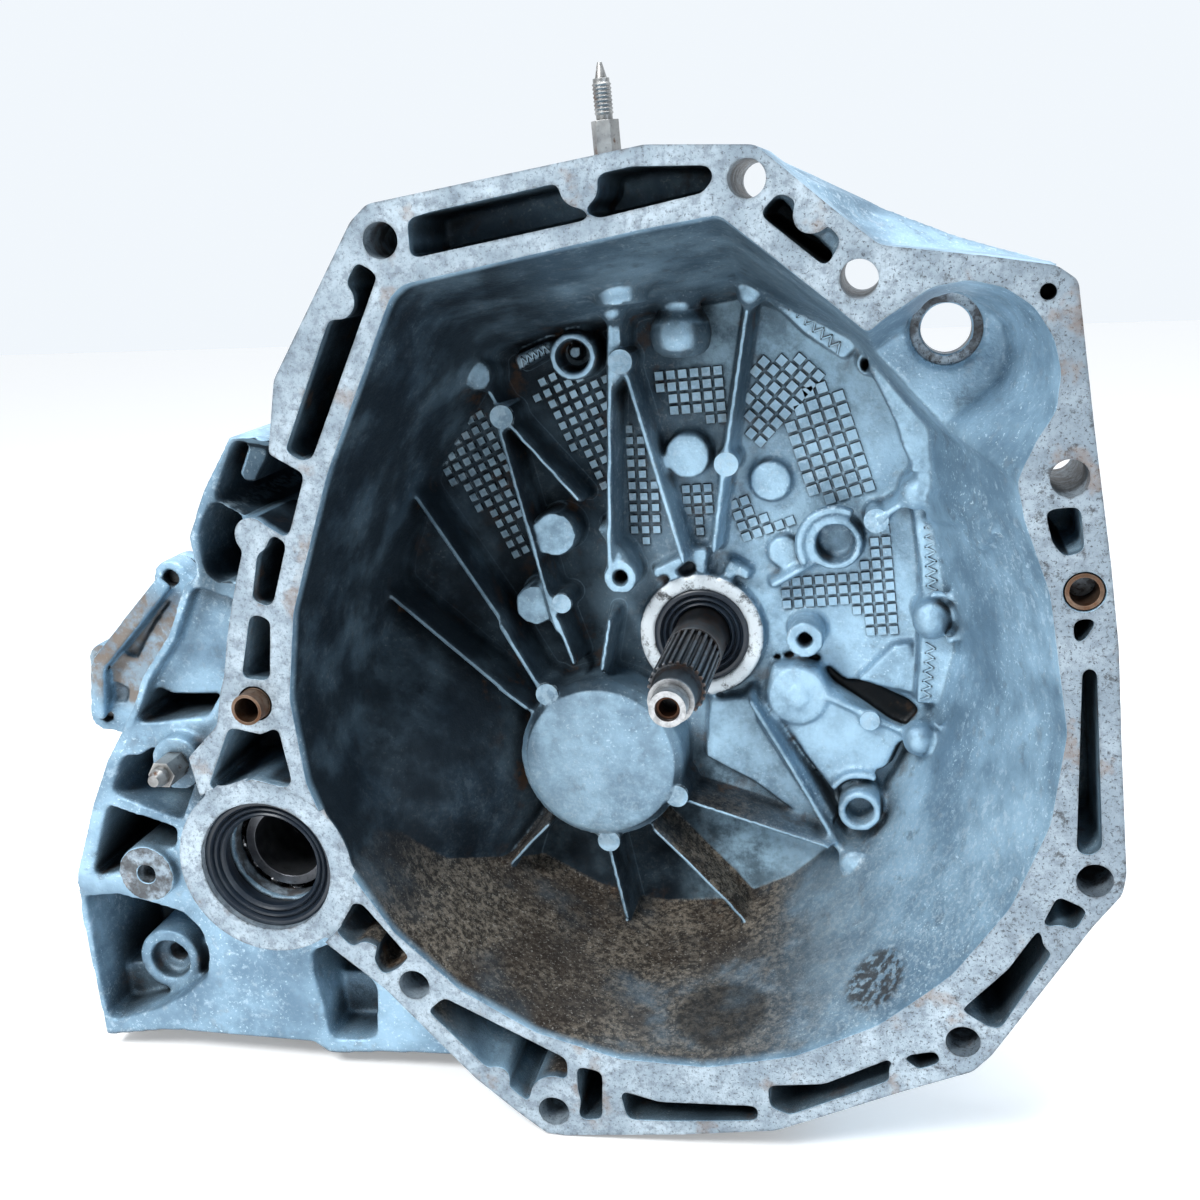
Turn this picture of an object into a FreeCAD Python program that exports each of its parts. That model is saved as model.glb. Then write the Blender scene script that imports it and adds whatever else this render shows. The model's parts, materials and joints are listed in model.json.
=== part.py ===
# Manual transmission for a transverse engine: bell housing, gear case, five-speed gears and differential.
# X runs to the right, Y runs from the engine flange into the gearbox, Z is up. Millimetres.
# The origin is the input shaft axis on the engine flange face.
import FreeCAD
import Part
import os
from math import acos, atan2, ceil, cos, degrees, hypot, pi, radians, sin, sqrt, tan

V = FreeCAD.Vector
os.makedirs("parts", exist_ok=True)

# ---------------------------------------------------------------- driving dimensions
CENTRE_DISTANCE = 72.0          # input shaft to output shaft
OUTPUT_ANGLE = 231.8            # direction of the output shaft seen from the input shaft, degrees
GEAR_MODULE = 2.25              # transverse module of the speed gears
DRIVE_MODULE = 3.5              # transverse module of the final drive
PINION_TEETH = 15
RING_TEETH = 61
DIFF_ANGLE = 188.26             # direction of the differential seen from the output shaft, degrees
GROUND = -193.0                 # height of the surface that the gearbox stands on

JOINT_Y = 122.0                 # plane between bell housing and gear case
ROOM_END_Y = 306.0              # inner face of the gear case end wall
CASE_END_Y = 322.0              # plane between gear case and end cover
COVER_END_Y = 342.0             # back of the end cover
FLOOR_Y = 111.0                 # floor of the bell
CHAMBER_Y = 116.5               # gear side of the bell floor
SKIRT_Y = 56.0                  # depth of the outer flange wall
BELL_CENTRE = (-3.0, -3.0)
BELL_R = 152.0
WALL = 5.5

FACE_WIDTH = 12.0               # tooth width of the speed gears
HELIX = 24.0                    # helix angle of the speed gears, degrees
DRIVE_HELIX = 20.0
BACKLASH = 0.16                 # taken off each tooth flank at the pitch circle
BEVEL_BACKLASH = 0.3
SLEEVE_TRAVEL = 5.0

INPUT = (0.0, 0.0)
OUTPUT = (
    CENTRE_DISTANCE * cos(radians(OUTPUT_ANGLE)),
    CENTRE_DISTANCE * sin(radians(OUTPUT_ANGLE)),
)
DRIVE_DISTANCE = DRIVE_MODULE * (PINION_TEETH + RING_TEETH) / 2
DIFF = (
    OUTPUT[0] + DRIVE_DISTANCE * cos(radians(DIFF_ANGLE)),
    OUTPUT[1] + DRIVE_DISTANCE * sin(radians(DIFF_ANGLE)),
)

# speed name: (teeth on the input shaft, teeth on the output shaft, first Y of the teeth, side of its sleeve)
SPEEDS = {
    "fifth": (38, 26, 187.0, -1),
    "first": (14, 50, 204.0, 1),
    "second": (22, 42, 238.0, -1),
    "third": (29, 35, 255.0, 1),
    "fourth": (34, 30, 289.0, -1),
}
REVERSE_INPUT_TEETH = 14
REVERSE_IDLER_TEETH = 33
REVERSE_OUTPUT_TEETH = 45
REVERSE_Y = 153.0
DRIVE_Y = (122.5, 148.5)        # teeth of the final drive

# the reverse idler meshes with its gears on both shafts, on the side away from the differential
IDLER_TO_INPUT = GEAR_MODULE * (REVERSE_INPUT_TEETH + REVERSE_IDLER_TEETH) / 2
IDLER_TO_OUTPUT = GEAR_MODULE * (REVERSE_OUTPUT_TEETH + REVERSE_IDLER_TEETH) / 2
IDLER_ANGLE = OUTPUT_ANGLE + degrees(
    acos(
        (CENTRE_DISTANCE**2 + IDLER_TO_INPUT**2 - IDLER_TO_OUTPUT**2) / (2 * CENTRE_DISTANCE * IDLER_TO_INPUT)
    )
)
IDLER = (IDLER_TO_INPUT * cos(radians(IDLER_ANGLE)), IDLER_TO_INPUT * sin(radians(IDLER_ANGLE)))
IDLER_SHAFT_R = 8.0

# synchroniser hub centres along the output shaft
HUBS = {"five_reverse": 176.0, "one_two": 227.0, "three_four": 278.0}
HUB_HALF = 5.0
SLEEVE_HALF = 5.5
SLEEVE_R = 38.0
GROOVE_R = 33.5
SPLINE_TIP_R = 31.0
SPLINE_ROOT_R = 29.3
DOG_R = 28.3
RODS = {"one_two": (-62.4, 50.1), "three_four": (-69.0, 34.0), "five_reverse": (-73.5, 17.5)}
ROD_R = 6.0
FORK_HALF = 2.2
FORK_INNER_R = 34.0
FORK_OUTER_R = 45.0

CHAMBERS = (                     # (centre, radius) of the rooms that hold the speed gears
    (INPUT, 62.0),
    (OUTPUT, 66.0),
    ((-76.0, 36.0), 40.0),
    ((40.0, -34.0), 45.0),
)
RING_ROOM_R = 112.5
DIFF_ROOM_END = 164.0
DIFF_APEX_Y = 108.0             # where the axes of the bevel gears meet
SIDE_TEETH = 16
BEVEL_TEETH = 10
BEVEL_MODULE = 4.0
BEVEL_STEP = 3.5                # from the pitch circle in to the back of a bevel gear, clear of its mate
SELECTOR = (-92.0, 200.0)       # x and y of the upright selector shaft
SELECTOR_Z = 34.0


# ---------------------------------------------------------------- shape helpers
def at(xz, y):
    return V(xz[0], y, xz[1])


def disc(centre, radius, y0, y1):
    return Part.makeCylinder(radius, y1 - y0, at(centre, y0), V(0, 1, 0))


def cone(centre, r0, r1, y0, y1):
    return Part.makeCone(r0, r1, y1 - y0, at(centre, y0), V(0, 1, 0))


def tube(centre, outer, inner, y0, y1):
    return disc(centre, outer, y0, y1).cut(disc(centre, inner, y0 - 1, y1 + 1))


def wire(points, y):
    corners = [at(p, y) for p in points]
    return Part.makePolygon(corners + corners[:1])


def prism(points, y0, y1):
    return Part.Face(wire(points, y0)).extrude(V(0, y1 - y0, 0))


def loft(front, back, y0, y1):
    return Part.makeLoft([wire(front, y0), wire(back, y1)], True, True)


def rib(a, b, width, y0, y1):
    length = hypot(b[0] - a[0], b[1] - a[1])
    side = ((a[1] - b[1]) / length * width / 2, (b[0] - a[0]) / length * width / 2)
    return prism(
        [
            (a[0] + side[0], a[1] + side[1]),
            (b[0] + side[0], b[1] + side[1]),
            (b[0] - side[0], b[1] - side[1]),
            (a[0] - side[0], a[1] - side[1]),
        ],
        y0,
        y1,
    )


def turned(profile, centre):
    """A solid of revolution about a line along Y; the profile is (radius, y) pairs."""
    points = [V(centre[0] + r, y, centre[1]) for r, y in profile]
    face = Part.Face(Part.makePolygon(points + points[:1]))
    return face.revolve(at(centre, 0), V(0, 1, 0), 360)


def fuse(shapes):
    shapes = list(shapes)
    if len(shapes) == 1:
        return shapes[0]
    return shapes[0].fuse(shapes[1:])


def hexagon(centre, across_flats, y0, y1):
    radius = across_flats / 2 / cos(radians(30))
    points = [
        (centre[0] + radius * cos(radians(60 * k)), centre[1] + radius * sin(radians(60 * k)))
        for k in range(6)
    ]
    return prism(points, y0, y1)


def polar(centre, radius, angle):
    return (centre[0] + radius * cos(radians(angle)), centre[1] + radius * sin(radians(angle)))


def moved_out(points, distance):
    """The points moved away from the bell's axis."""
    result = []
    for x, z in points:
        dx = x - BELL_CENTRE[0]
        dz = z - BELL_CENTRE[1]
        length = hypot(dx, dz)
        result.append((x + dx / length * distance, z + dz / length * distance))
    return result


def hull(circles, grow, steps=40):
    """The tight outline round several circles, as a convex polygon."""
    points = sorted(
        polar(centre, radius + grow, 360.0 * k / steps) for centre, radius in circles for k in range(steps)
    )
    half = []
    for run in (points, points[::-1]):
        chain = []
        for p in run:
            while len(chain) > 1 and turn(chain[-2], chain[-1], p) <= 1e-9:
                chain.pop()
            chain.append(p)
        half += chain[:-1]
    return half


def turn(a, b, c):
    return (b[0] - a[0]) * (c[1] - a[1]) - (b[1] - a[1]) * (c[0] - a[0])


def save(shape, name):
    solids = shape.Solids
    result = solids[0] if len(solids) == 1 else Part.makeCompound(solids)
    result.exportStep("parts/%s.step" % name)


# ---------------------------------------------------------------- gear teeth
def involute(base_r, radius):
    ratio = acos(min(1.0, base_r / radius))
    return tan(ratio) - ratio


def tooth_outline(teeth, module, phase, centre, addendum=0.95, dedendum=1.22, backlash=BACKLASH):
    """Outline of a gear with involute flanks; a tooth is centred on the phase angle, in radians."""
    pitch_r = module * teeth / 2
    base_r = pitch_r * cos(radians(20))
    tip_r = pitch_r + addendum * module
    root_r = pitch_r - dedendum * module
    half = pi / 2 / teeth - backlash / pitch_r + involute(base_r, pitch_r)
    low_r = max(base_r, root_r + 0.15 * module)
    points = []
    for k in range(teeth):
        middle = phase + 2 * pi * k / teeth
        radii = [low_r, pitch_r, tip_r]
        side = [(r, half - involute(base_r, r)) for r in radii]
        flank = [(root_r, side[0][1] + 0.12 * module / root_r)] + side
        for r, offset in flank:
            points.append((r, middle - offset))
        for r, offset in reversed(flank):
            points.append((r, middle + offset))
    return [(centre[0] + r * cos(a), centre[1] + r * sin(a)) for r, a in points]


def gear_body(teeth, module, centre, y0, width, phase, helix, hand):
    """A helical gear with no bore; the helix turns by hand (+1 or -1)."""
    twist = hand * width * tan(radians(helix)) / (module * teeth / 2)
    front = wire(tooth_outline(teeth, module, phase, centre), y0)
    back = wire(tooth_outline(teeth, module, phase + twist, centre), y0 + width)
    sides = []
    for a, b in zip(front.Edges, back.Edges):
        sides.append(Part.makeRuledSurface(a, b))
    shell = Part.makeShell(sides + [Part.Face(front), Part.Face(back)])
    body = Part.Solid(shell)
    if body.Volume < 0:
        body.reverse()
    return body


def mesh_phase(driver_teeth, driver_phase, driver, driven_teeth, driven):
    """Phase that puts a gap of the driven gear where the driver has a tooth on the line of centres."""
    line = atan2(driven[1] - driver[1], driven[0] - driver[0])
    pitch = 2 * pi / driver_teeth
    off_line = ((driver_phase - line) / pitch) % 1.0
    return line + pi - (off_line + 0.5) * 2 * pi / driven_teeth


def ring_cut(shape, centre, bore, y0, y1):
    return shape.cut(disc(centre, bore, y0 - 5, y1 + 5))


# ---------------------------------------------------------------- bell housing outlines
def bell_arc(front):
    """The round stretch of the bell, from the right side down and round to the upper left."""
    points = []
    for k in range(0, 15):
        angle = -14.0 * k
        radius = BELL_R
        if not front:
            radius = 139.0 - 33.0 * max(0.0, cos(radians(angle + 20))) ** 2
        points.append(polar(BELL_CENTRE, radius, angle))
    return points


UPPER_FRONT = [
    (-129, 95), (-97, 162), (-92, 166), (0, 182), (25, 185.5), (68, 150), (75, 144), (128, 90), (131, 78),
    (141, 50),
]
UPPER_BACK = [
    (-119, 78), (-88, 124), (-82, 129), (-5, 146), (22, 150), (58, 135), (66, 131), (91, 98), (92, 66),
    (100, 36),
]
FLANGE = [
    (-110, 188), (-103, 194), (0, 209), (38, 207), (65, 184), (80, 172), (115, 167), (138, 163),
    (145, 158), (152, 110), (160, 60), (164, 30), (167, -10), (171, -58), (170, -66), (160, -80),
    (125, -138), (118, -146), (90, -158), (60, -172), (40, -181), (0, -187), (-50, -192.5), (-58, -192),
    (-70, -183), (-88, -168), (-125, -128), (-150, -108), (-160, -70), (-200, -42), (-203, -25),
    (-188, -10), (-185, 4), (-182, 12), (-179, 27), (-175.5, 40), (-172, 51.5), (-167, 66), (-160, 76),
    (-148, 71), (-139, 92), (-138, 95), (-152, 103), (-146.5, 131.4),
]
EXTENSION = [
    (-140, 96), (-152, 106), (-166, 109), (-173, 108), (-187, 87), (-197, 67), (-197.5, 51), (-205, 41),
    (-212, 27), (-221.5, 14), (-228, 7.6), (-238, -11.5), (-256, -38), (-268.5, -64), (-286, -100),
    (-289, -112), (-289.5, -124), (-286, -186), (-256, -181), (-246, -180), (-178, -180.5), (-170, -186),
    (-143, -183), (-106, -181), (-60, -186), (-40, -150), (-120, 0),
]
RIM = [                          # (z, y) of the front rim of the extension, from top to bottom
    (140, 8), (70, 11), (40, 18), (-60, 21), (-95, 28), (-112, 34), (-220, 34),
]
STARTER_BAY = [
    (70, 138), (80, 147), (89, 153), (97, 158), (110, 160), (122, 157), (132, 150), (139, 139), (142, 127),
    (141.5, 115), (137, 107), (132.5, 97), (127, 87), (100, 100),
]
STARTER_FLOOR = [                # the same points at the floor of the bay
    (72, 128), (84, 137), (93, 141), (97.5, 147.5), (106.5, 150.5), (117, 148), (124, 141), (126, 133),
    (124, 122), (117.5, 115), (111, 110), (105, 105), (98, 98), (85, 100),
]
STARTER_FLOOR_Y = 48.0
STARTER_HOLE = (104.0, 139.0)
SHOULDER = [                     # ledge between the bell floor and its right wall
    (75, 120), (86, 97), (88, 89), (92, 80), (97, 70), (106, 75), (106, 96), (72, 136),
]
DOWELS = {"left": (-170.0, 0.0), "right": (151.6, 50.3)}
DOWEL_R = 6.7
FLANGE_POCKETS = {               # outlines of the open pockets in the flange, and their depth
    "left_top": ([(-109, 174), (-101, 169), (-134, 101), (-139, 100), (-145, 104), (-122, 153)], 44),
    "top": ([(-88, 188), (-80, 190), (-30, 198), (-20, 185), (-88, 174)], 44),
    "top_middle": ([(-17, 200), (-5, 202), (22, 201), (24, 197), (20, 192), (-18, 185), (-22, 188)], 44),
    "top_right": ([(46, 191), (52, 188), (64, 178), (67, 174), (62, 165), (39, 184)], 44),
    "right_1": ([(137, 80), (149, 81), (151, 65), (144, 63), (140, 68)], 40),
    "right_2": ([(148, 40), (157, 41), (152, 32), (149, 31)], 40),
    "right_3": ([(152, 22), (157, 22), (162, -48), (158, -51), (153, -50)], 44),
    "right_4": (
        [
            (147, -68), (158, -73), (155, -80), (146, -92), (128, -126), (124, -126), (113, -119),
            (130, -100), (142, -80),
        ],
        44,
    ),
    "bottom_right": (
        [
            (104, -138), (106, -143), (97, -147), (86, -153), (46, -173), (38, -170), (37, -160),
            (60, -157), (88, -142),
        ],
        44,
    ),
    "bottom_slot": ([(-25, -168), (-8, -172), (33, -170), (33, -177), (-5, -181), (-22, -182)], 44),
    "bottom_gap": ([(-43, -158), (-32, -160), (-33, -183), (-43, -184)], 44),
    "bottom_left": (
        [
            (-107, -137), (-99, -130), (-47, -155), (-47, -170), (-65, -178), (-72, -172), (-85, -160),
        ],
        50,
    ),
    "dowel_low": (
        [
            (-183, -11), (-178.5, -11.5), (-169, -13.4), (-161, -10), (-157.5, -34), (-160, -37),
            (-175.5, -33.5), (-189, -38.5), (-196.5, -39.5), (-189.5, -25),
        ],
        50,
    ),
    "left_low": (
        [
            (-136, -88), (-132, -88), (-113, -112), (-119, -118), (-126, -121.5), (-129, -114),
            (-127, -108), (-132.5, -105.5), (-138.5, -109), (-145, -102),
        ],
        44,
    ),
    "strip_high": ([(-161, 65), (-154, 71), (-148.5, 67.5), (-157, 42.5), (-160, 41.5), (-166, 44)], 50),
    "strip_low": ([(-168, 37), (-165, 38), (-159, 36), (-162, 11), (-164, 10), (-174.5, 11)], 50),
}
LOWER_BOSSES = ((-243.5, -91.0), (-256.0, -152.0))
POCKET_BOSSES = (                # (centre, radius) of the screw bosses that stand in the flange pockets
    ((-118, 160), 7.0), ((-24, 196), 7.0), ((57, 183), 6.5), ((148, -86), 6.0), ((91, -149), 5.5),
    ((-28, -183), 5.0), ((-53, -175), 11.0), ((-78, -167), 5.5), (DOWELS["left"], 10.5),
)
EXTENSION_POCKETS = [            # (outline, depth) of the pockets between the ribs of the extension
    (
        [
            (-164, 105), (-169.5, 106.5), (-172, 104.5), (-178, 92.5), (-182, 85), (-181.5, 82.5),
            (-170, 76.5), (-155.5, 74), (-148.5, 69.5), (-146.5, 72), (-139, 92), (-138, 95), (-152, 103),
        ],
        96,
    ),
    (
        [
            (-185, 81), (-181, 81), (-171, 75.5), (-173.5, 72), (-173.5, 67), (-172.5, 63), (-177, 49),
            (-181, 47), (-189, 47), (-192.5, 51.5), (-192.5, 67), (-190, 74),
        ],
        96,
    ),
    (
        [
            (-202.5, 43.5), (-198, 43.5), (-182.5, 38.5), (-186.5, 26.5), (-191, 9.5), (-193.5, 0),
            (-203, -14), (-229, -17.5), (-238.5, -18), (-229.5, 4.5), (-221.5, 11), (-214.5, 21),
            (-205.5, 37.5),
        ],
        96,
    ),
    (
        [
            (-247, -34.5), (-239.5, -33), (-230, -29), (-226, -40), (-213.5, -44.5), (-223, -64.5),
            (-253.5, -53), (-255, -50),
        ],
        96,
    ),
    (
        [
            (-258, -58), (-240, -64), (-227, -68.5), (-230, -79.5), (-246, -78), (-256, -86),
            (-258, -93.5), (-277, -98.5), (-262, -66),
        ],
        96,
    ),
    (
        [
            (-286, -111.5), (-267.5, -109), (-236.5, -117), (-228.5, -125.5), (-226, -138),
            (-228.5, -150), (-241, -160.5), (-258, -170), (-280, -177), (-284, -175),
        ],
        58,
    ),
    (
        [
            (-286, -111.5), (-267.5, -109), (-236.5, -117), (-228.5, -125.5), (-236, -140), (-250, -156),
            (-285, -160),
        ],
        96,
    ),
    (
        [
            (-174, -133), (-164, -128.5), (-146, -145.5), (-144, -150.5), (-146.5, -174.5),
            (-151.5, -177), (-167, -178), (-170, -175), (-171, -160.5), (-174.5, -142.5),
        ],
        58,
    ),
    (
        [
            (-174, -133), (-164, -128.5), (-146, -145.5), (-144, -150.5), (-145, -156), (-172, -156),
            (-174.5, -142.5),
        ],
        96,
    ),
]
BOLT_HOLES = {                   # 13.4 mm holes for the engine bolts, and whether each goes right through
    "a": ((-99, 181), False), "b": ((35, 196), True), "c": ((73, 161), True), "d": ((145, 91), True),
    "e": ((-112, -125), False), "f": ((-54, -181), False), "g": ((114, -133), False),
    "h": ((160, -61), False),
}
BOLT_HOLE_R = 6.7
EARS = [
    ((-309, -48), 9), ((-305, -19.5), 9), ((-262.5, 24), 9), ((-196, 60), 9), ((-120, 84), 9), ((-40, 88), 8),
    ((48, 68), 8), ((92, 10), 8), ((93, -64), 8), ((25, -110), 8), ((-40, -142), 8), ((-112, -184), 9),
    ((-238, -184), 9), ((-296, -122), 9),
]
FAR_WEB = [(-262, 24), (-305, -20), (-309, -48), (-262, -80), (-225, 0)]
BOLT_R = 4.0                     # M8 case bolts
TOP_STUD = (-26.0, 68.0, 199.0)
TOP_STUD_LEAN = 3.0              # degrees
TOP_STUD_R = 3.8
SIDE_STUD = (-216.0, -33.0)
KEYHOLE = (-163.0, 70.5)


# ---------------------------------------------------------------- bell housing details
FLOOR_RIBS = [                   # (start, end, first Y)
    ((-84, 98), (-63, 6), 89), ((-83, 104), (-50, 66), 89), ((-130, 77.5), (-84, 4), 87),
    ((-33, 146), (-38, 36), 90), ((-28, 124), (-5, 38), 91), ((25.5, 150), (14.5, 84), 91),
    ((13.5, 78), (8.5, 43), 91), ((-42, 52), (-31, 38), 93), ((-91, 120), (-83, 104), 91),
    ((78, 56), (94, 67), 92), ((33, 25), (52, 36), 101), ((-88.7, 9.8), (-72.5, -19.1), 85),
    ((-141, 24), (-90, -20.4), 85),
    ((-90.7, -20.7), (-78, -30.3), 85), ((-62.8, 11.4), (-56.2, -9), 89),
    ((-38.7, 11.7), (-43.4, -12.4), 89), ((-72.7, -89), (-95.6, -113.9), 89),
    ((-43.7, -99.3), (-36.7, -135.9), 89), ((-22.7, -88.5), (9.7, -122.4), 89),
    ((9.7, -122.4), (19, -133.6), 89), ((-5.6, -74.4), (57.9, -94.1), 89),
    ((22.9, -26.7), (39.6, -55.5), 93), ((39.6, -55.5), (62.3, -97), 93),
    ((56.5, -25.5), (72.2, -32.4), 99),
]
FLOOR_BOSSES = [                 # (centre, radius, first Y, hole radius or None)
    ((-33.6, 30.6), 7.8, 90, 3.3), ((47.6, 3.0), 8.3, 90, 3.3), ((71.5, -76.6), 9.7, 88, 6.3),
    ((-49.8, 128.6), 10.4, 88, 7.0), ((75.1, 122.4), 6.0, 92, 4.0), ((-62.7, 50.3), 10.0, 90, None),
    ((-73.4, 17.5), 9.3, 90, None), ((-60.4, 19.1), 4.4, 88, None), ((-3.2, 83.5), 10.0, 98, None),
    ((32.2, 71.0), 9.0, 104, None), ((60.4, 44.2), 11.8, 98, 8.5), ((37.5, 39.0), 7.2, 105, None),
    ((43.5, -25.9), 13.0, 98, None), ((14.8, 81.2), 5.2, 90, None), ((-82.8, 103.4), 5.2, 88, None),
    ((-29.1, 126), 5.2, 88, None), ((77.9, 56), 5.2, 92, None), ((75.6, -35.7), 4.4, 96, None),
    ((-68.3, -22.6), 5.2, 83, None), ((-10.3, -69.9), 5.2, 83, None), ((-42.8, -93.6), 5.2, 83, None),
]
WALL_LUGS = [                    # (centre, radius, first Y) of the round lugs on the bell wall
    ((94.5, 68), 7.0, 88), ((101.5, 13), 8.0, 89), ((97.3, -42), 7.0, 89), ((26.5, 152.5), 5.5, 86),
    ((-31.5, 147.8), 5.5, 86), ((-92.5, 121.5), 7.0, 87), ((69.3, -102.3), 7.0, 87),
]
BULB_AXIS = (-4.5, 100.0)        # x and y of the upright bulb-shaped boss under the top wall
BULB_PROFILE = [                 # (radius, z)
    (0, 126), (8.5, 126.5), (12.2, 130), (13.3, 136), (12.2, 142), (8.6, 146), (8.6, 149.5), (12.6, 153),
    (15.5, 159), (15.0, 170), (0, 170),
]
DOME_CENTRE = (-45.0, -54.0)
FLOOR_PLATES = (                 # (outline, first Y) of the raised plates to the right of the dome
    (
        [
            (32.5, -13.6), (42.8, -11.2), (52.9, -14.1), (57.9, -23), (72.3, -32.6), (84.9, -41.3),
            (87.5, -48.8), (83.4, -58.9), (76.6, -62.8), (64.7, -67), (59.5, -71.9), (47.6, -55.7),
            (35.7, -37.5), (27.9, -32.1),
        ],
        100,
    ),
    ([(3, -31.4), (19.7, -29.1), (55.8, -91), (52.3, -93.1), (24.3, -71.3), (0.5, -58.8)], 104),
)


def outline(front):
    return bell_arc(front) + (UPPER_FRONT if front else UPPER_BACK)


def bell_shell():
    """Outer form of the bell, its flange wall and the extension over the differential."""
    front = outline(True)
    back = outline(False)
    skirt = prism(FLANGE, 0, SKIRT_Y)
    bell = loft(moved_out(front, 6), moved_out(back, 7), 0, CHAMBER_Y + 3)
    extension = prism(EXTENSION, 0, JOINT_Y - 14).cut(rim_clearance())
    return fuse([skirt, bell, extension])


def rim_clearance():
    """Everything in front of the extension's sloping rim."""
    points = [V(-400, y, z) for z, y in RIM] + [V(-400, -10, RIM[-1][0]), V(-400, -10, RIM[0][0])]
    return Part.Face(Part.makePolygon(points + points[:1])).extrude(V(420, 0, 0))


def joint_plate(y0, y1):
    """The flange round the joint between bell housing and gear case."""
    pieces = [
        prism(hull(CHAMBERS, 13), y0, y1),
        disc(DIFF, RING_ROOM_R + 12, y0, y1),
        prism(hull([(DIFF, 70), (OUTPUT, 66), ((-76, 36), 40)], 13), y0, y1),
    ]
    for centre, radius in EARS:
        pieces.append(disc(centre, radius, y0, y1))
        pieces.append(rib(centre, nearest_axis(centre), 2 * radius - 1, y0, y1))
    below = Part.makeBox(600, y1 - y0 + 2, 100, V(-400, y0 - 1, GROUND - 100))
    return fuse(pieces).cut(below)


def nearest_axis(point):
    """A point 40 mm towards the nearer of the two shaft axes."""
    centre = DIFF if point[0] < -100 else (-20.0, -20.0)
    length = hypot(centre[0] - point[0], centre[1] - point[1])
    return (
        point[0] + (centre[0] - point[0]) / length * 40,
        point[1] + (centre[1] - point[1]) / length * 40,
    )


def diff_cone():
    """The neck and dome round the front differential bearing."""
    return turned([(0, 4), (39.5, 4), (41, 30), (46, 44), (66, 62), (100, 110), (0, 110)], DIFF)


def cut_flange_pockets(shape):
    cutters = []
    for points, depth in FLANGE_POCKETS.values():
        cutters.append(prism(points, -1, depth))
    bosses = fuse([disc(centre, radius, -2, 60) for centre, radius in POCKET_BOSSES])
    cutters = fuse(cutters).cut(bosses)
    return shape.cut(cutters)


def cut_extension_pockets(shape):
    cutters = [prism(points, -1, depth) for points, depth in EXTENSION_POCKETS]
    return shape.cut(fuse(cutters).cut(diff_cone()))


def bell_floor_details():
    pieces = []
    for a, b, y0 in FLOOR_RIBS:
        pieces.append(rib(a, b, 3.0, y0, FLOOR_Y + 1))
    for centre, radius, y0, hole in FLOOR_BOSSES:
        boss = disc(centre, radius, y0, FLOOR_Y + 1)
        if hole:
            boss = boss.cut(disc(centre, hole, y0 - 1, y0 + 14))
        pieces.append(boss)
    for centre, radius, y0 in WALL_LUGS:
        pieces.append(disc(centre, radius, y0, FLOOR_Y + 1))
    pieces.append(disc(DOME_CENTRE, 38.0, 85, FLOOR_Y + 1))
    pieces.append(cone(DOME_CENTRE, 27, 31, 81.5, 86))
    pieces.append(bulb_boss())
    pieces += [prism(outline, y0, FLOOR_Y + 1) for outline, y0 in FLOOR_PLATES]
    pieces.append(prism(SHOULDER, 86, FLOOR_Y + 1))
    pieces.append(disc(INPUT, 28.5, 104, FLOOR_Y + 1))
    for x, z in ((-14, 33.5), (0.9, 37.5), (15.7, 34.5)):
        pieces.append(rib((x, z), (x * 0.8, z * 0.8), 5.0, 102, FLOOR_Y + 1))
    return fuse(pieces)


def bulb_boss():
    points = [V(BULB_AXIS[0] + r, BULB_AXIS[1], z) for r, z in BULB_PROFILE]
    face = Part.Face(Part.makePolygon(points + points[:1]))
    return face.revolve(V(BULB_AXIS[0], BULB_AXIS[1], 0), V(0, 0, 1), 360)


def clutch_housing():
    body = cut_extension_pockets(bell_shell())
    body = body.fuse([diff_cone(), joint_plate(108, JOINT_Y)] + ear_rails())
    cavity = loft(outline(True), outline(False), -0.5, FLOOR_Y)
    body = body.cut(cavity.cut(diff_cone())).cut(loft(STARTER_BAY, STARTER_FLOOR, -1, STARTER_FLOOR_Y))
    reach = loft(moved_out(outline(True), 3), moved_out(outline(False), 3), 0, FLOOR_Y + 1)
    body = body.fuse(bell_floor_details().common(reach))
    body = cut_flange_pockets(body)
    body = body.fuse(outer_bosses())
    return cut_housing_bores(body)


def ear_rails():
    """The rails between the free-standing ears at the far left."""
    return [rib(EARS[k][0], EARS[k + 1][0], 8, 100, JOINT_Y) for k in (0, 1)]


def outer_bosses():
    finger = hull([((-163, 102), 4.5), ((-168, 93), 4.0)], 0)
    return [
        disc(INPUT, 31.5, FLOOR_Y, 131),
        disc(KEYHOLE, 7.3, 0, 40),
        disc(DOWELS["left"], 10.5, 0, 40),
        disc(DOWELS["right"], 9.0, 0, 40),
        disc(LOWER_BOSSES[0], 13.5, 20, 100),
        disc(LOWER_BOSSES[1], 16.0, 50, 110),
        disc((-240.5, -27.5), 6.3, 20, 100),
        disc(SIDE_STUD, 12.0, 12, 100),
        prism(finger, 14, 60),
        disc(STARTER_HOLE, 20, STARTER_FLOOR_Y + 1, 62),
        prism(FAR_WEB, 111, JOINT_Y),
        stud_axis_part(11, 48, -48),
        disc(RODS["one_two"], 10, 92, 120),
        disc(RODS["five_reverse"], 8.5, 95, 120),
        disc((41.6, -27.2), 12.5, 100, 121),
    ]


def stud_axis_part(radius, length, start):
    """A cylinder on the leaning axis of the top stud."""
    lean = radians(TOP_STUD_LEAN)
    axis = V(-sin(lean), 0, cos(lean))
    return Part.makeCylinder(radius, length, V(*TOP_STUD) + axis * start, axis)


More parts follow.
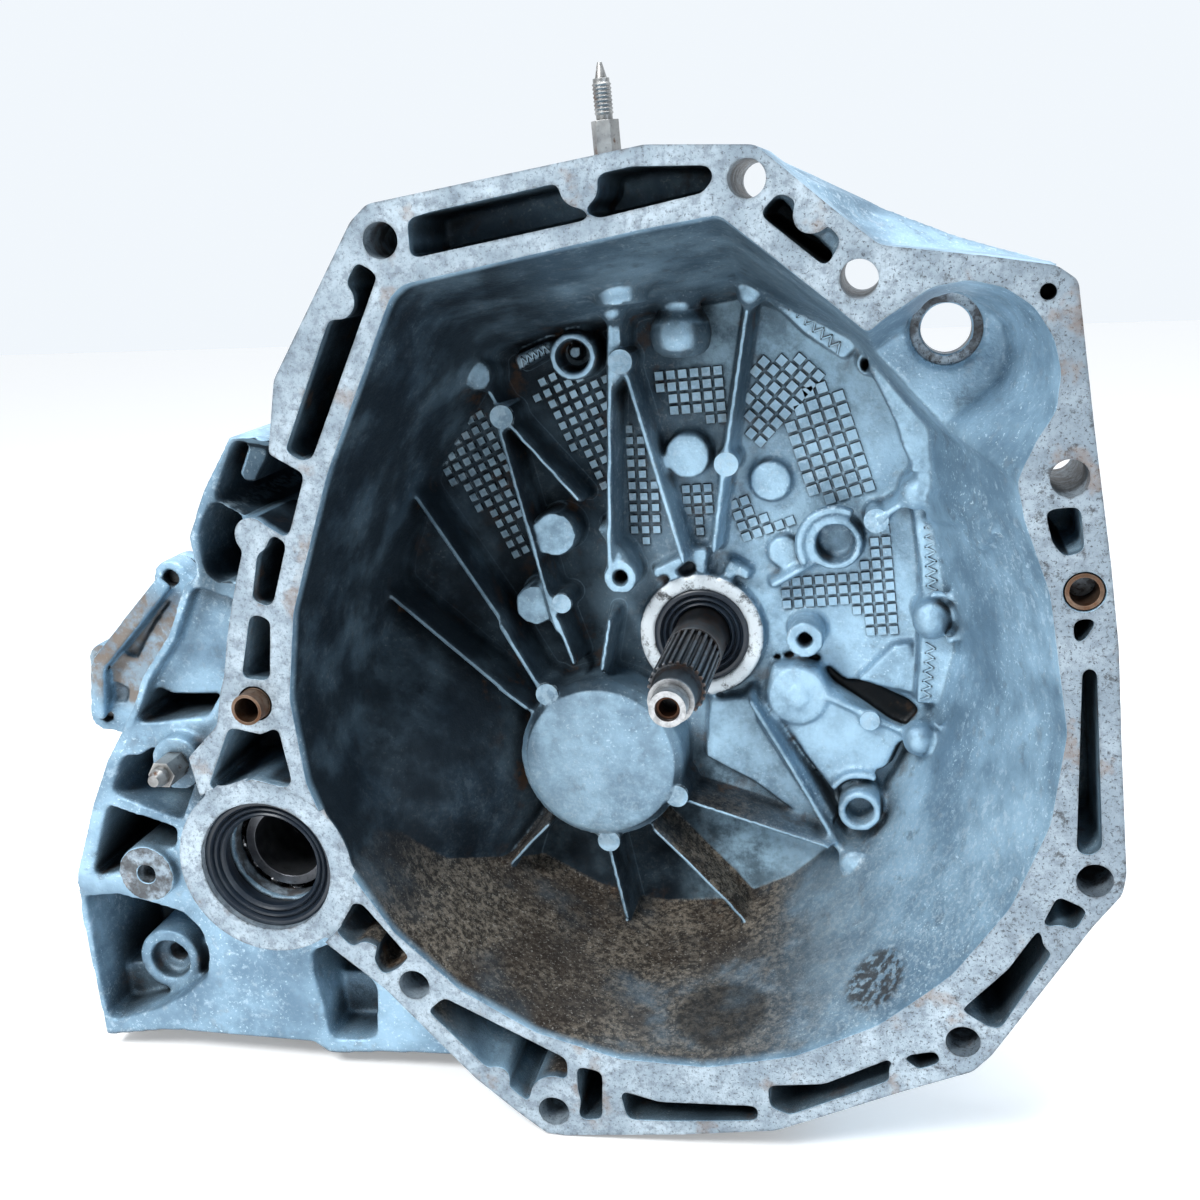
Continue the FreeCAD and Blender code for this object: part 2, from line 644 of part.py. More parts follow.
def cut_housing_bores(body):
    cutters = [
        disc(INPUT, 21.5, 100, 113),
        disc(INPUT, 19.0, 100, 132),
        disc(INPUT, 26.0, 114.5, 132),
        disc(OUTPUT, 31.0, 93, 132),
        turned(
            [
                (0, 0), (29.5, 0), (29.5, 20), (22.5, 20), (22.5, 30), (36, 30), (36, 49), (50, 60), (62, 67),
                (84, 103), (92, 110), (92, 132), (0, 132),
            ],
            DIFF,
        ),
        disc(DIFF, RING_ROOM_R, CHAMBER_Y - 2, 132),
        prism(hull(CHAMBERS, 0), CHAMBER_Y, 132).cut(disc(INPUT, 31.5, 100, 140)),
        disc(LOWER_BOSSES[0], 4.5, 0, 44),
        disc(LOWER_BOSSES[1], 10.0, 48, 58),
        disc(LOWER_BOSSES[1], 4.5, 50, 90),
        disc(SIDE_STUD, 4.0, 0, 60),
        disc(STARTER_HOLE, 9.5, 30, 80),
        disc(STARTER_HOLE, 15.0, 30, STARTER_FLOOR_Y + 2),
        disc((135.5, 154.5), 3.2, -1, 12),
        stud_axis_part(TOP_STUD_R, 24, -18),
    ]
    for name in ("one_two", "five_reverse"):
        cutters.append(disc(RODS[name], ROD_R + 0.05, 95, 125))
    cutters.append(disc(IDLER, IDLER_SHAFT_R, 103, 125))
    for centre, through in BOLT_HOLES.values():
        cutters.append(disc(centre, BOLT_HOLE_R, -1, 80 if through else 38))
    for centre in DOWELS.values():
        cutters.append(disc(centre, DOWEL_R, -1, 14))
        cutters.append(disc(centre, DOWEL_R + 1.3, -1, 1.5))
    for centre, radius in EARS:
        cutters.append(disc(centre, BOLT_R, 104 if centre[0] < -250 else 112.5, 130))
    return body.cut(cutters)


# ---------------------------------------------------------------- gear case and covers
MOUNT_PAD = [(-70, -150), (40, -150), (52, -193), (-82, -193)]
MOUNT_HOLES = ((-52.0, 212.0), (-52.0, 278.0), (22.0, 212.0), (22.0, 278.0))    # x and y
COVER_CIRCLES = ((INPUT, 38.0), (OUTPUT, 38.0))
COVER_BOLTS = [polar(INPUT, 44, a) for a in (20, 80, 140)] + [polar(OUTPUT, 44, a) for a in (180, 240, 300)]


def case_body():
    outer = fuse(
        [
            prism(hull(CHAMBERS, WALL), JOINT_Y, 176),
            prism(hull(CHAMBERS[:3], WALL), JOINT_Y, CASE_END_Y),
            disc(DIFF, RING_ROOM_R + 4.5, JOINT_Y, DIFF_ROOM_END + 5),
            prism(hull([(DIFF, 60), (OUTPUT, 60)], WALL), JOINT_Y, DIFF_ROOM_END + 5),
            joint_plate(JOINT_Y, JOINT_Y + 9),
            prism(MOUNT_PAD, 200, 290),
            rib((-60, -110), (-60, -180), 10, 200, 290),
            rib((30, -60), (30, -180), 10, 200, 290),
            prism(hull(COVER_CIRCLES, 14), ROOM_END_Y - 8, CASE_END_Y),
            turned([(0, 160), (75, 160), (58, 176), (48, 200), (48, 208), (0, 208)], DIFF),
            Part.makeCylinder(24, 60, V(SELECTOR[0], SELECTOR[1], 30), V(0, 0, 1)),
        ]
    )
    ribs = [rib(polar(OUTPUT, 60, a), polar(OUTPUT, 76, a), 4, 150, 300) for a in (200, 225, 250, 275)]
    ribs += [rib(polar(INPUT, 58, a), polar(INPUT, 72, a), 4, 150, 300) for a in (20, 45, 70, 95)]
    ribs += [rib(polar(DIFF, 50, a), polar(DIFF, 112, a), 4, 160, 178) for a in range(0, 360, 30)]
    below = Part.makeBox(600, 300, 100, V(-400, 100, GROUND - 100))
    return outer.fuse(ribs).cut(below)


def case_rooms():
    rooms = [
        prism(hull(CHAMBERS, 0), JOINT_Y - 1, 170.5),
        prism(hull(CHAMBERS[:3], 0), JOINT_Y - 1, ROOM_END_Y),
        disc(DIFF, RING_ROOM_R, JOINT_Y - 1, DIFF_ROOM_END),
        turned(
            [(0, 160), (74, 160), (40, 168.5), (36, 168.5), (36, 188), (27, 188), (27, 196), (29.5, 196),
             (29.5, 210), (0, 210)],
            DIFF,
        ),
        disc(INPUT, 31, ROOM_END_Y - 1, CASE_END_Y + 1),
        disc(OUTPUT, 31, ROOM_END_Y - 1, CASE_END_Y + 1),
        Part.makeCylinder(17, 70, V(SELECTOR[0], SELECTOR[1], 21), V(0, 0, 1)),
    ]
    rooms += [disc(centre, ROD_R + 0.05, ROOM_END_Y - 1, 320.5) for centre in RODS.values()]
    return rooms


def gear_case():
    body = case_body().fuse([seat_part(seat, seat[2] + 5, -14, 14) for seat in SEATS.values()])
    body = body.cut(case_rooms())
    cutters = [disc(centre, BOLT_R + 0.3, JOINT_Y - 1, JOINT_Y + 12) for centre, radius in EARS]
    cutters += [disc(centre, EAR_FACE_R, JOINT_Y + 9, JOINT_Y + 50) for centre, radius in EARS]
    cutters += [disc(centre, 2.6, CASE_END_Y - 14, CASE_END_Y + 1) for centre in COVER_BOLTS]
    for x, y in MOUNT_HOLES:
        cutters.append(Part.makeCylinder(5.0, 24, V(x, y, GROUND - 1), V(0, 0, 1)))
    for x, y in selector_bolts():
        cutters.append(Part.makeCylinder(2.6, 16, V(x, y, 75), V(0, 0, 1)))
    for seat in SEATS.values():
        cutters.append(seat_part(seat, seat[2], -20, 60))
        cutters.append(seat_part(seat, seat[2] + 6.5, 0, 40))
    return body.cut(cutters)


# name: (centre of the spot face, direction out of the case, hole radius) of the fittings in the gear case
SEATS = {
    "drain": ((-176.0, 157.0, -191.5), (0, 0, -1), 8.0),
    "fill": ((93.0, 150.0, -46.0), (1, 0, 0), 9.0),
    "switch": ((10.0, 230.0, 70.0), (0, 0, 1), 7.0),
    "sensor": ((-160.0, 146.5, 44.0), (0, 0, 1), 8.0),
    "breather": ((-60.0, 270.0, 83.0), (0, 0, 1), 4.0),
}
EAR_FACE_R = 8.4                 # machined round each case bolt


def seat_part(seat, radius, start, length):
    """A cylinder on a seat's axis; start counts from the spot face."""
    point, direction = seat[:2]
    out = V(*direction)
    return Part.makeCylinder(radius, length, V(*point) + out * start, out)


def end_cover():
    body = prism(hull(COVER_CIRCLES, 14), CASE_END_Y, CASE_END_Y + 6)
    body = body.fuse(prism(hull(COVER_CIRCLES, -2), CASE_END_Y, COVER_END_Y))
    body = body.fuse([disc(c, 30, COVER_END_Y - 1, COVER_END_Y + 3) for c in (INPUT, OUTPUT)])
    room = prism(hull(COVER_CIRCLES, -6), CASE_END_Y - 1, COVER_END_Y - 5)
    holes = [disc(c, 3.3, CASE_END_Y - 1, CASE_END_Y + 8) for c in COVER_BOLTS]
    return body.cut(room).cut(holes)


def bolt(centre, y_head, radius, length, across_flats):
    """A flanged bolt whose head stands on the plane y_head and whose shank runs towards -Y."""
    return fuse(
        [
            disc(centre, radius, y_head - length, y_head),
            disc(centre, across_flats * 0.62, y_head, y_head + 1.6),
            hexagon(centre, across_flats, y_head + 1.5, y_head + radius * 1.7),
        ]
    )


def case_bolts():
    return fuse([bolt(centre, JOINT_Y + 9, BOLT_R, 18, 12.0) for centre, radius in EARS])


def end_cover_bolts():
    return fuse([bolt(centre, CASE_END_Y + 6, 2.6, 18, 8.0) for centre in COVER_BOLTS])


def selector_bolts():
    return [polar(SELECTOR, 20.5, angle) for angle in (45, 165, 285)]


def selector_cover():
    x, y = SELECTOR
    body = Part.makeCylinder(24, 7, V(x, y, 90), V(0, 0, 1))
    body = body.fuse(Part.makeCylinder(11, 12, V(x, y, 90), V(0, 0, 1)))
    body = body.fuse(Part.makeCylinder(16.9, 8, V(x, y, 82), V(0, 0, 1)))
    body = body.cut(Part.makeCylinder(6.55, 40, V(x, y, 75), V(0, 0, 1)))
    holes = [Part.makeCylinder(2.6, 20, V(px, py, 85), V(0, 0, 1)) for px, py in selector_bolts()]
    return body.cut(holes)


def selector_cover_bolts():
    bolts = []
    for x, y in selector_bolts():
        shank = Part.makeCylinder(2.6, 18, V(x, y, 79), V(0, 0, 1))
        bolts.append(shank.fuse(Part.makeCylinder(4.0, 4, V(x, y, 97), V(0, 0, 1))))
    return fuse(bolts)


# ---------------------------------------------------------------- static fittings
def dowel_sleeves():
    in_bore = tube(DOWELS["left"], DOWEL_R, 5.2, 0, 14)
    left = in_bore.fuse(tube(DOWELS["left"], DOWEL_R - 0.2, 5.2, -8, 0.5))
    right = tube(DOWELS["right"], DOWEL_R, 5.2, 0.5, 14)
    return Part.makeCompound([left, right])


def seal(centre, outer, inner, y0, y1):
    """A lip seal: steel-cored ring, a recess in its open face and a lip that leans inwards."""
    middle = (y0 + y1) / 2
    return turned(
        [
            (outer, y0), (outer, y1), (inner + 1.5, y1), (inner, middle), (inner, y0 + 1), (inner + 2, y0),
            (inner + 3, middle), (outer - 3, middle), (outer - 3, y0),
        ],
        centre,
    )


def race_pair(centre, y0, y1, outer, bore):
    """Outer race and inner race of a ball bearing, with the ball track radius and ball radius."""
    middle = (y0 + y1) / 2
    track = (outer + bore) / 2
    ball = min(0.30 * (outer - bore), 0.42 * (y1 - y0))
    groove = Part.makeTorus(track, ball + 0.08, at(centre, middle), V(0, 1, 0))
    outer_race = tube(centre, outer, track + ball * 0.55, y0, y1).cut(groove)
    inner_race = tube(centre, track - ball * 0.55, bore, y0, y1).cut(groove)
    return outer_race, inner_race, track, ball


def balls(centre, y0, y1, outer, bore):
    track, ball = race_pair(centre, y0, y1, outer, bore)[2:]
    count = int(2 * pi * track / (2.35 * ball))
    middle = (y0 + y1) / 2
    return [Part.makeSphere(ball, at(polar(centre, track, 360.0 * k / count), middle)) for k in range(count)]


BEARINGS = {                     # shaft: [(first Y, last Y, outer radius, bore radius)]
    "input": [(114.5, 129.5, 26.0, 12.4), (306.5, 321.5, 31.0, 12.4)],
    "output": [(95.0, 111.0, 31.0, 17.5), (306.5, 321.5, 31.0, 14.0)],
    "diff": [(30.5, 47.5, 36.0, 20.0), (169.0, 186.0, 36.0, 20.0)],
}
AXES = {"input": INPUT, "output": OUTPUT, "diff": DIFF}


def bearing_parts(shaft):
    outers = []
    inners = []
    rolling = []
    for size in BEARINGS[shaft]:
        outer_race, inner_race = race_pair(AXES[shaft], *size)[:2]
        outers.append(outer_race)
        inners.append(inner_race)
        rolling += balls(AXES[shaft], *size)
    return outers, inners, rolling


def stud(base, lean, hex_size, hex_length, thread_r, length):
    """An upright double stud with a hexagon, a plain neck, a thread form and a conical tip."""
    top = hex_length + length
    radius = hex_size / 2 / cos(radians(30))
    corners = [V(radius * cos(radians(60 * k)), radius * sin(radians(60 * k)), 0) for k in range(6)]
    pieces = [
        Part.makeCylinder(thread_r, 18, V(0, 0, -18), V(0, 0, 1)),
        Part.makeCylinder(thread_r * 0.86, length - 8, V(0, 0, hex_length - 1), V(0, 0, 1)),
        Part.makeCone(thread_r * 0.7, thread_r * 0.25, 7, V(0, 0, top - 10), V(0, 0, 1)),
        Part.Face(Part.makePolygon(corners + corners[:1])).extrude(V(0, 0, hex_length)),
    ]
    for k in range(int((length - 12) / 1.5)):
        z = hex_length + 2 + 1.5 * k
        pieces.append(Part.makeCone(thread_r, thread_r * 0.87, 0.75, V(0, 0, z + 0.74), V(0, 0, 1)))
        pieces.append(Part.makeCone(thread_r * 0.87, thread_r, 0.75, V(0, 0, z), V(0, 0, 1)))
    body = fuse(pieces)
    body.rotate(V(0, 0, 0), V(0, 1, 0), -lean)
    body.translate(V(*base))
    return body


def side_stud():
    """A threaded pin with a hexagon that stands out of the differential extension towards -Y."""
    return fuse(
        [
            disc(SIDE_STUD, 4.0, -4, 30),
            hexagon(SIDE_STUD, 10.5, -1, 12),
            cone(SIDE_STUD, 2.4, 4.0, -8, -4),
        ]
    )


def oil_plugs():
    plugs = []
    for name in ("drain", "fill"):
        seat = SEATS[name]
        plugs.append(seat_part(seat, seat[2], -8, 8).cut(seat_part(seat, 4.6, -5, 6)))
    return Part.makeCompound(plugs)


def screwed_fitting(name, neck_r, stages):
    """A round fitting screwed into its seat; each stage is (radius, length) going outwards."""
    seat = SEATS[name]
    pieces = [seat_part(seat, seat[2], -6, 6)]
    start = 0.0
    for radius, length in stages:
        pieces.append(seat_part(seat, radius, start, length))
        start += length
    pieces.append(seat_part(seat, neck_r, 0, start))
    return fuse(pieces)


# ---------------------------------------------------------------- shafts and gears
def shaft_gear(teeth, y0, phase, helix):
    return gear_body(teeth, GEAR_MODULE, INPUT, y0, FACE_WIDTH, phase, helix, 1)


def spline_outline(centre, teeth, tip, root):
    points = []
    pitch = 360.0 / teeth
    for k in range(teeth):
        for radius, part in ((root, 0.05), (root, 0.40), (tip, 0.55), (tip, 0.90)):
            points.append(polar(centre, radius, (k + part) * pitch))
    return points


def input_shaft():
    pieces = [
        disc(INPUT, 7.5, 6, 16),
        disc(INPUT, 9.5, 15, 29),
        cone(INPUT, 9.5, 11.0, 28, 31),
        prism(spline_outline(INPUT, 24, 12.0, 10.8), 30, 76),
        disc(INPUT, 12.4, 75, 324),
    ]
    for name in ("first", "second", "third"):
        teeth, driven, y0, side = SPEEDS[name]
        pieces.append(shaft_gear(teeth, y0, 0.0, HELIX))
    pieces.append(shaft_gear(REVERSE_INPUT_TEETH, REVERSE_Y, 0.0, 0.0))
    pieces.append(disc(INPUT, 15.0, 130, 140))
    body = fuse(pieces)
    body = body.cut([disc(INPUT, 3.7, 5, 18), disc(INPUT, 5.0, 5, 8)])
    return body


def pressed_gear(name):
    teeth, driven, y0, side = SPEEDS[name]
    body = shaft_gear(teeth, y0, 0.0, HELIX)
    body = body.cut(tube(INPUT, GEAR_MODULE * teeth / 2 - 6, 20, y0 - 1, y0 + 2.5))
    body = body.cut(tube(INPUT, GEAR_MODULE * teeth / 2 - 6, 20, y0 + FACE_WIDTH - 2.5, y0 + FACE_WIDTH + 1))
    return ring_cut(body, INPUT, 12.4, y0, y0 + FACE_WIDTH)


def output_gear(name):
    if name == "reverse":
        teeth, y0, side, helix = REVERSE_OUTPUT_TEETH, REVERSE_Y, 1, 0.0
        idler_phase = mesh_phase(REVERSE_INPUT_TEETH, 0.0, INPUT, REVERSE_IDLER_TEETH, IDLER)
        phase = mesh_phase(REVERSE_IDLER_TEETH, idler_phase, IDLER, teeth, OUTPUT)
    else:
        driver, teeth, y0, side = SPEEDS[name]
        helix = HELIX
        phase = mesh_phase(driver, 0.0, INPUT, teeth, OUTPUT)
    body = gear_body(teeth, GEAR_MODULE, OUTPUT, y0, FACE_WIDTH, phase, helix, -1)
    face = y0 + FACE_WIDTH if side > 0 else y0
    edge = sorted((face, face + side * 2.6))
    hub = sorted((face, face + side * 5.6))
    body = body.fuse([disc(OUTPUT, DOG_R, *edge), disc(OUTPUT, 20.5, *hub)])
    return ring_cut(body, OUTPUT, 17.55, y0 - 8, y0 + 24)


def output_shaft():
    width = DRIVE_Y[1] - DRIVE_Y[0]
    pinion = gear_body(PINION_TEETH, DRIVE_MODULE, OUTPUT, DRIVE_Y[0], width, 0.0, DRIVE_HELIX, 1)
    journals = [disc(OUTPUT, 17.5, 95, 306.2), disc(OUTPUT, 14.0, 305, 324), disc(OUTPUT, 21, 112, 124)]
    return fuse(journals + [pinion])


def hub(name):
    y = HUBS[name]
    body = prism(spline_outline(OUTPUT, 36, SPLINE_TIP_R, SPLINE_ROOT_R), y - HUB_HALF, y + HUB_HALF)
    for ends in ((y - HUB_HALF - 1, y - 2), (y + 2, y + HUB_HALF + 1)):
        body = body.cut(tube(OUTPUT, 27, 21.5, *ends))
    return ring_cut(body, OUTPUT, 17.5, y - HUB_HALF, y + HUB_HALF)


def sleeve(name):
    y = HUBS[name]
    body = disc(OUTPUT, SLEEVE_R, y - SLEEVE_HALF, y + SLEEVE_HALF)
    body = body.cut(tube(OUTPUT, SLEEVE_R + 2, GROOVE_R, y - 2.5, y + 2.5))
    opening = prism(spline_outline(OUTPUT, 36, SPLINE_TIP_R + 0.25, SPLINE_ROOT_R + 0.25), y - 9, y + 9)
    return body.cut(opening.fuse(disc(OUTPUT, SPLINE_ROOT_R - 0.4, y - 9, y + 9)))


def synchro_rings():
    rings = []
    for y in HUBS.values():
        for side in (-1, 1):
            ends = sorted((y + side * (HUB_HALF + 0.2), y + side * (HUB_HALF + 3.0)))
            rings.append(tube(OUTPUT, DOG_R, 21.0, *ends))
    return Part.makeCompound(rings)


def reverse_idler_gear():
    phase = mesh_phase(REVERSE_INPUT_TEETH, 0.0, INPUT, REVERSE_IDLER_TEETH, IDLER)
    body = gear_body(REVERSE_IDLER_TEETH, GEAR_MODULE, IDLER, REVERSE_Y, FACE_WIDTH, phase, 0.0, 1)
    body = body.fuse(disc(IDLER, 14, REVERSE_Y - 8, REVERSE_Y + FACE_WIDTH))
    return ring_cut(body, IDLER, IDLER_SHAFT_R + 0.05, REVERSE_Y - 8, REVERSE_Y + FACE_WIDTH)


def reverse_idler_shaft():
    stages = ((IDLER_SHAFT_R, 103, 167), (11, 165.4, 168), (12, 121, 144))
    return fuse([disc(IDLER, *stage) for stage in stages])


# ---------------------------------------------------------------- differential
def ring_gear():
    driver = mesh_phase(PINION_TEETH, 0.0, OUTPUT, RING_TEETH, DIFF)
    width = DRIVE_Y[1] - DRIVE_Y[0]
    body = gear_body(RING_TEETH, DRIVE_MODULE, DIFF, DRIVE_Y[0], width, driver, DRIVE_HELIX, -1)
    body = body.cut(tube(DIFF, 95, 82, DRIVE_Y[0] - 1, DRIVE_Y[0] + 8))
    body = body.cut([disc(c, 4.0, 110, 160) for c in ring_bolt_places()])
    return ring_cut(body, DIFF, 60.0, *DRIVE_Y)


def ring_bolt_places():
    return [polar(DIFF, 71, 45.0 * k) for k in range(8)]


def ring_gear_bolts():
    return fuse([bolt(c, 156, 4.0, 28, 12.0) for c in ring_bolt_places()])


def diff_carrier():
    body = turned(
        [
            (0, 28), (20, 28), (20, 49), (44, 56), (56, 66), (60, 74), (60, 148.5), (80, 148.5), (80, 156),
            (44, 156), (30, 166), (20, 168), (20, 188), (0, 188),
        ],
        DIFF,
    )
    windows = []
    for side in (-1, 1):
        z = DIFF[1] + side * 46
        windows.append(Part.makeBox(56, 46, 60, V(DIFF[0] - 28, DIFF_APEX_Y - 23, z - 30)))
    cutters = [
        disc(DIFF, 48, DIFF_APEX_Y - 27.5, DIFF_APEX_Y + 27.5),
        disc(DIFF, 16, 20, 200),
        disc(DIFF, 22.05, 62, 154),
        Part.makeCylinder(8.0, 130, V(DIFF[0] - 65, DIFF_APEX_Y, DIFF[1]), V(1, 0, 0)),
    ]
    body = body.cut(cutters + windows)
    return body.cut([disc(c, 4.0, 140, 160) for c in ring_bolt_places()])


def cross_pin():
    return Part.makeCylinder(8.0, 119, V(DIFF[0] - 59.5, DIFF_APEX_Y, DIFF[1]), V(1, 0, 0))


def bevel_gear(teeth, mate, phase, bore, hub_r, hub_length):
    """A bevel gear about +Y whose apex is at the origin and whose big end is at y = mate pitch radius."""
    distance = BEVEL_MODULE * mate / 2
    big = tooth_outline(teeth, BEVEL_MODULE, phase, (0, 0), 0.5, 1.25, BEVEL_BACKLASH)
    small = [(x * 0.62, z * 0.62) for x, z in big]
    body = gear_between(wire(small, distance * 0.62), wire(big, distance))
    body = body.fuse(disc((0, 0), BEVEL_MODULE * teeth / 2 - BEVEL_STEP, distance, distance + 5))
    body = body.fuse(disc((0, 0), hub_r, distance, distance + 5 + hub_length))
    return ring_cut(body, (0, 0), bore, 0, distance + 30)


def gear_between(front, back):
    sides = [Part.makeRuledSurface(a, b) for a, b in zip(front.Edges, back.Edges)]
    body = Part.Solid(Part.makeShell(sides + [Part.Face(front), Part.Face(back)]))
    if body.Volume < 0:
        body.reverse()
    return body


def side_gear(rear):
    body = bevel_gear(SIDE_TEETH, BEVEL_TEETH, 0.0, 13.0, 22.0, 16.0)
    if not rear:
        body.rotate(V(0, 0, 0), V(0, 0, 1), 180)
    body.translate(V(DIFF[0], DIFF_APEX_Y, DIFF[1]))
    return body


def bevel_pinion(right):
    body = bevel_gear(BEVEL_TEETH, SIDE_TEETH, pi / BEVEL_TEETH, 8.05, 12.0, 3.0)
    body.rotate(V(0, 0, 0), V(0, 0, 1), -90 if right else 90)
    body.translate(V(DIFF[0], DIFF_APEX_Y, DIFF[1]))
    return body


# ---------------------------------------------------------------- gear selection
def rod(name):
    start = 128.0 if name == "three_four" else 102.0
    body = disc(RODS[name], ROD_R, start, 315)
    x, z = RODS[name]
    lug = Part.makeBox(x + 80 - 4, 20, 9, V(-80, SELECTOR[1] - 10, z - 4.5))
    slot = Part.makeBox(7, 9, 12, V(-81, SELECTOR[1] - 4.5, z - 6))
    return body.fuse(lug.cut(slot))


def fork(name):
    y = HUBS[name]
    centre = RODS[name]
    angle = degrees(atan2(centre[1] - OUTPUT[1], centre[0] - OUTPUT[0]))
    ring = tube(OUTPUT, FORK_OUTER_R, FORK_INNER_R, y - FORK_HALF, y + FORK_HALF)
    keep = [polar(OUTPUT, 70, angle + a) for a in (-96, -60, -20, 20, 60, 96)] + [OUTPUT]
    ring = ring.common(prism(keep, y - 5, y + 5))
    body = ring.fuse(
        [
            rib(polar(OUTPUT, 38, angle), centre, 4.6, y - FORK_HALF, y + FORK_HALF),
            disc(centre, 9.4, y - 7, y + 7),
        ]
    )
    return body.cut(disc(centre, ROD_R, y - 9, y + 9))


def selector_shaft():
    x, y = SELECTOR
    shaft = Part.makeCylinder(6.5, 118, V(x, y, 2), V(0, 0, 1))
    finger = Part.makeBox(11.4, 7, 7, V(x, y - 3.5, SELECTOR_Z - 3.5))
    return shaft.fuse(finger)


def interlock_sleeve():
    x, y = SELECTOR
    body = Part.makeCylinder(9.6, 26, V(x, y, SELECTOR_Z - 13), V(0, 0, 1))
    body = body.cut(Part.makeCylinder(6.6, 40, V(x, y, SELECTOR_Z - 20), V(0, 0, 1)))
    return body.cut(Part.makeBox(14, 26, 9, V(x, y - 13, SELECTOR_Z - 4.5)))


def shift_lever():
    x, y = SELECTOR
    body = Part.makeCylinder(11, 14, V(x, y, 120), V(0, 0, 1))
    arm = Part.makeBox(46, 14, 6, V(x - 46, y - 7, 124))
    ball = Part.makeSphere(6.5, V(x - 44, y, 141))
    neck = Part.makeCylinder(3.6, 14, V(x - 44, y, 126), V(0, 0, 1))
    return fuse([body, arm, neck, ball])


def main():
    save(clutch_housing(), "clutch_housing")
    save(gear_case(), "gear_case")
    save(end_cover(), "end_cover")
    save(case_bolts(), "case_bolts")
    save(end_cover_bolts(), "end_cover_bolts")
    save(dowel_sleeves(), "dowel_sleeves")
    save(seal(INPUT, 21.5, 12.6, 105, 112.5), "input_shaft_seal")
    diff_seals = [seal(DIFF, 29.5, 21.0, 7, 18), seal(DIFF, 29.5, 21.0, 197, 208)]
    save(Part.makeCompound(diff_seals), "differential_seals")
    for shaft in BEARINGS:
        outers, inners, rolling = bearing_parts(shaft)
        save(Part.makeCompound(outers), shaft + "_bearing_outer_races")
        save(Part.makeCompound(rolling), shaft + "_bearing_balls")
        if shaft != "diff":
            save(Part.makeCompound(inners), shaft + "_bearing_inner_races")
    save(reverse_idler_shaft(), "reverse_idler_shaft")
    save(screwed_fitting("breather", 3.0, [(5.5, 4), (3.0, 8), (7.5, 9)]), "breather")
    save(oil_plugs(), "oil_plugs")
    save(screwed_fitting("switch", 6.0, [(12.0, 8), (9.0, 16), (11.0, 14)]), "reverse_light_switch")
    save(screwed_fitting("sensor", 6.0, [(14.0, 5), (10.0, 14), (8.5, 12)]), "speed_sensor")
    save(stud(TOP_STUD, TOP_STUD_LEAN, 9.6, 23.0, TOP_STUD_R, 24.5), "top_mount_stud")
    save(side_stud(), "side_mount_stud")
    save(selector_cover(), "selector_cover")
    save(selector_cover_bolts(), "selector_cover_bolts")
    save(selector_shaft(), "selector_shaft")
    save(shift_lever(), "shift_lever")
    save(interlock_sleeve(), "interlock_sleeve")
    for name in HUBS:
        save(fork(name), "fork_" + name)
        save(rod(name), "rod_" + name)
        save(hub(name), "hub_" + name)
        save(sleeve(name), "sleeve_" + name)
    save(synchro_rings(), "synchro_rings")
    save(input_shaft(), "input_shaft")
    for name in ("fourth", "fifth"):
        save(pressed_gear(name), "input_gear_" + name)
    save(output_shaft(), "output_shaft")
    for name in list(SPEEDS) + ["reverse"]:
        save(output_gear(name), "gear_" + name)
    save(reverse_idler_gear(), "reverse_idler_gear")
    save(diff_carrier(), "differential_carrier")
    save(ring_gear(), "ring_gear")
    save(ring_gear_bolts(), "ring_gear_bolts")
    save(cross_pin(), "cross_pin")
    save(side_gear(False), "side_gear_front")
    save(side_gear(True), "side_gear_rear")
    save(bevel_pinion(False), "bevel_pinion_left")
    save(bevel_pinion(True), "bevel_pinion_right")


main()
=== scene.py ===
import json
import math

import bmesh
import bpy
from mathutils import Matrix, Vector

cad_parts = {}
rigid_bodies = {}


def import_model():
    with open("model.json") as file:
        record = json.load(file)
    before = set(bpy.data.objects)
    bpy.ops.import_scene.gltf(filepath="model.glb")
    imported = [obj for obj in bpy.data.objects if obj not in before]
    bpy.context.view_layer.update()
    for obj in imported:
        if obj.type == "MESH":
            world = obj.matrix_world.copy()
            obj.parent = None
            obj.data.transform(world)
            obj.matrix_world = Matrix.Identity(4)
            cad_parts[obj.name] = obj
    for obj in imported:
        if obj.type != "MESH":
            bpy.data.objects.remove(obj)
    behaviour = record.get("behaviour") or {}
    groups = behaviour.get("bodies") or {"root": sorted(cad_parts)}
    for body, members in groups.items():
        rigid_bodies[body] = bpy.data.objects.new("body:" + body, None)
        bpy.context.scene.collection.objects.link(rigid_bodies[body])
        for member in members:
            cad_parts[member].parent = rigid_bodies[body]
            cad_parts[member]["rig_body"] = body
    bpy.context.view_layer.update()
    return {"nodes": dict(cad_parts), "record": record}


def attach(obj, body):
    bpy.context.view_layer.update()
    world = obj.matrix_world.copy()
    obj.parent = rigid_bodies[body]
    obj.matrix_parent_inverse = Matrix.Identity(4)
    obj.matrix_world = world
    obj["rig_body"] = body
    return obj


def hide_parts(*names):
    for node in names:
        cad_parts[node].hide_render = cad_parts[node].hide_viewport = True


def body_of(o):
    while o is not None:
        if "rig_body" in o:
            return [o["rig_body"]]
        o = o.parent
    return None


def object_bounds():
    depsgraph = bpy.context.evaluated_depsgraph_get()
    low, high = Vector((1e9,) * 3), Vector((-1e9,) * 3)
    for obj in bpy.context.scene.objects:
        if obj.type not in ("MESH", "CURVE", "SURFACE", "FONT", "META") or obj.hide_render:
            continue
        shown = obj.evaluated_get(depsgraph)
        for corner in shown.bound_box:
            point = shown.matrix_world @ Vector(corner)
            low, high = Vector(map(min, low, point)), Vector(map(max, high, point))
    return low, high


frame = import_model()
nodes = frame["nodes"]
MM = 0.001

# ---------------------------------------------------------------- dimensions, in millimetres
CENTRE_DISTANCE = 72.0
DRIVE_DISTANCE = 133.0


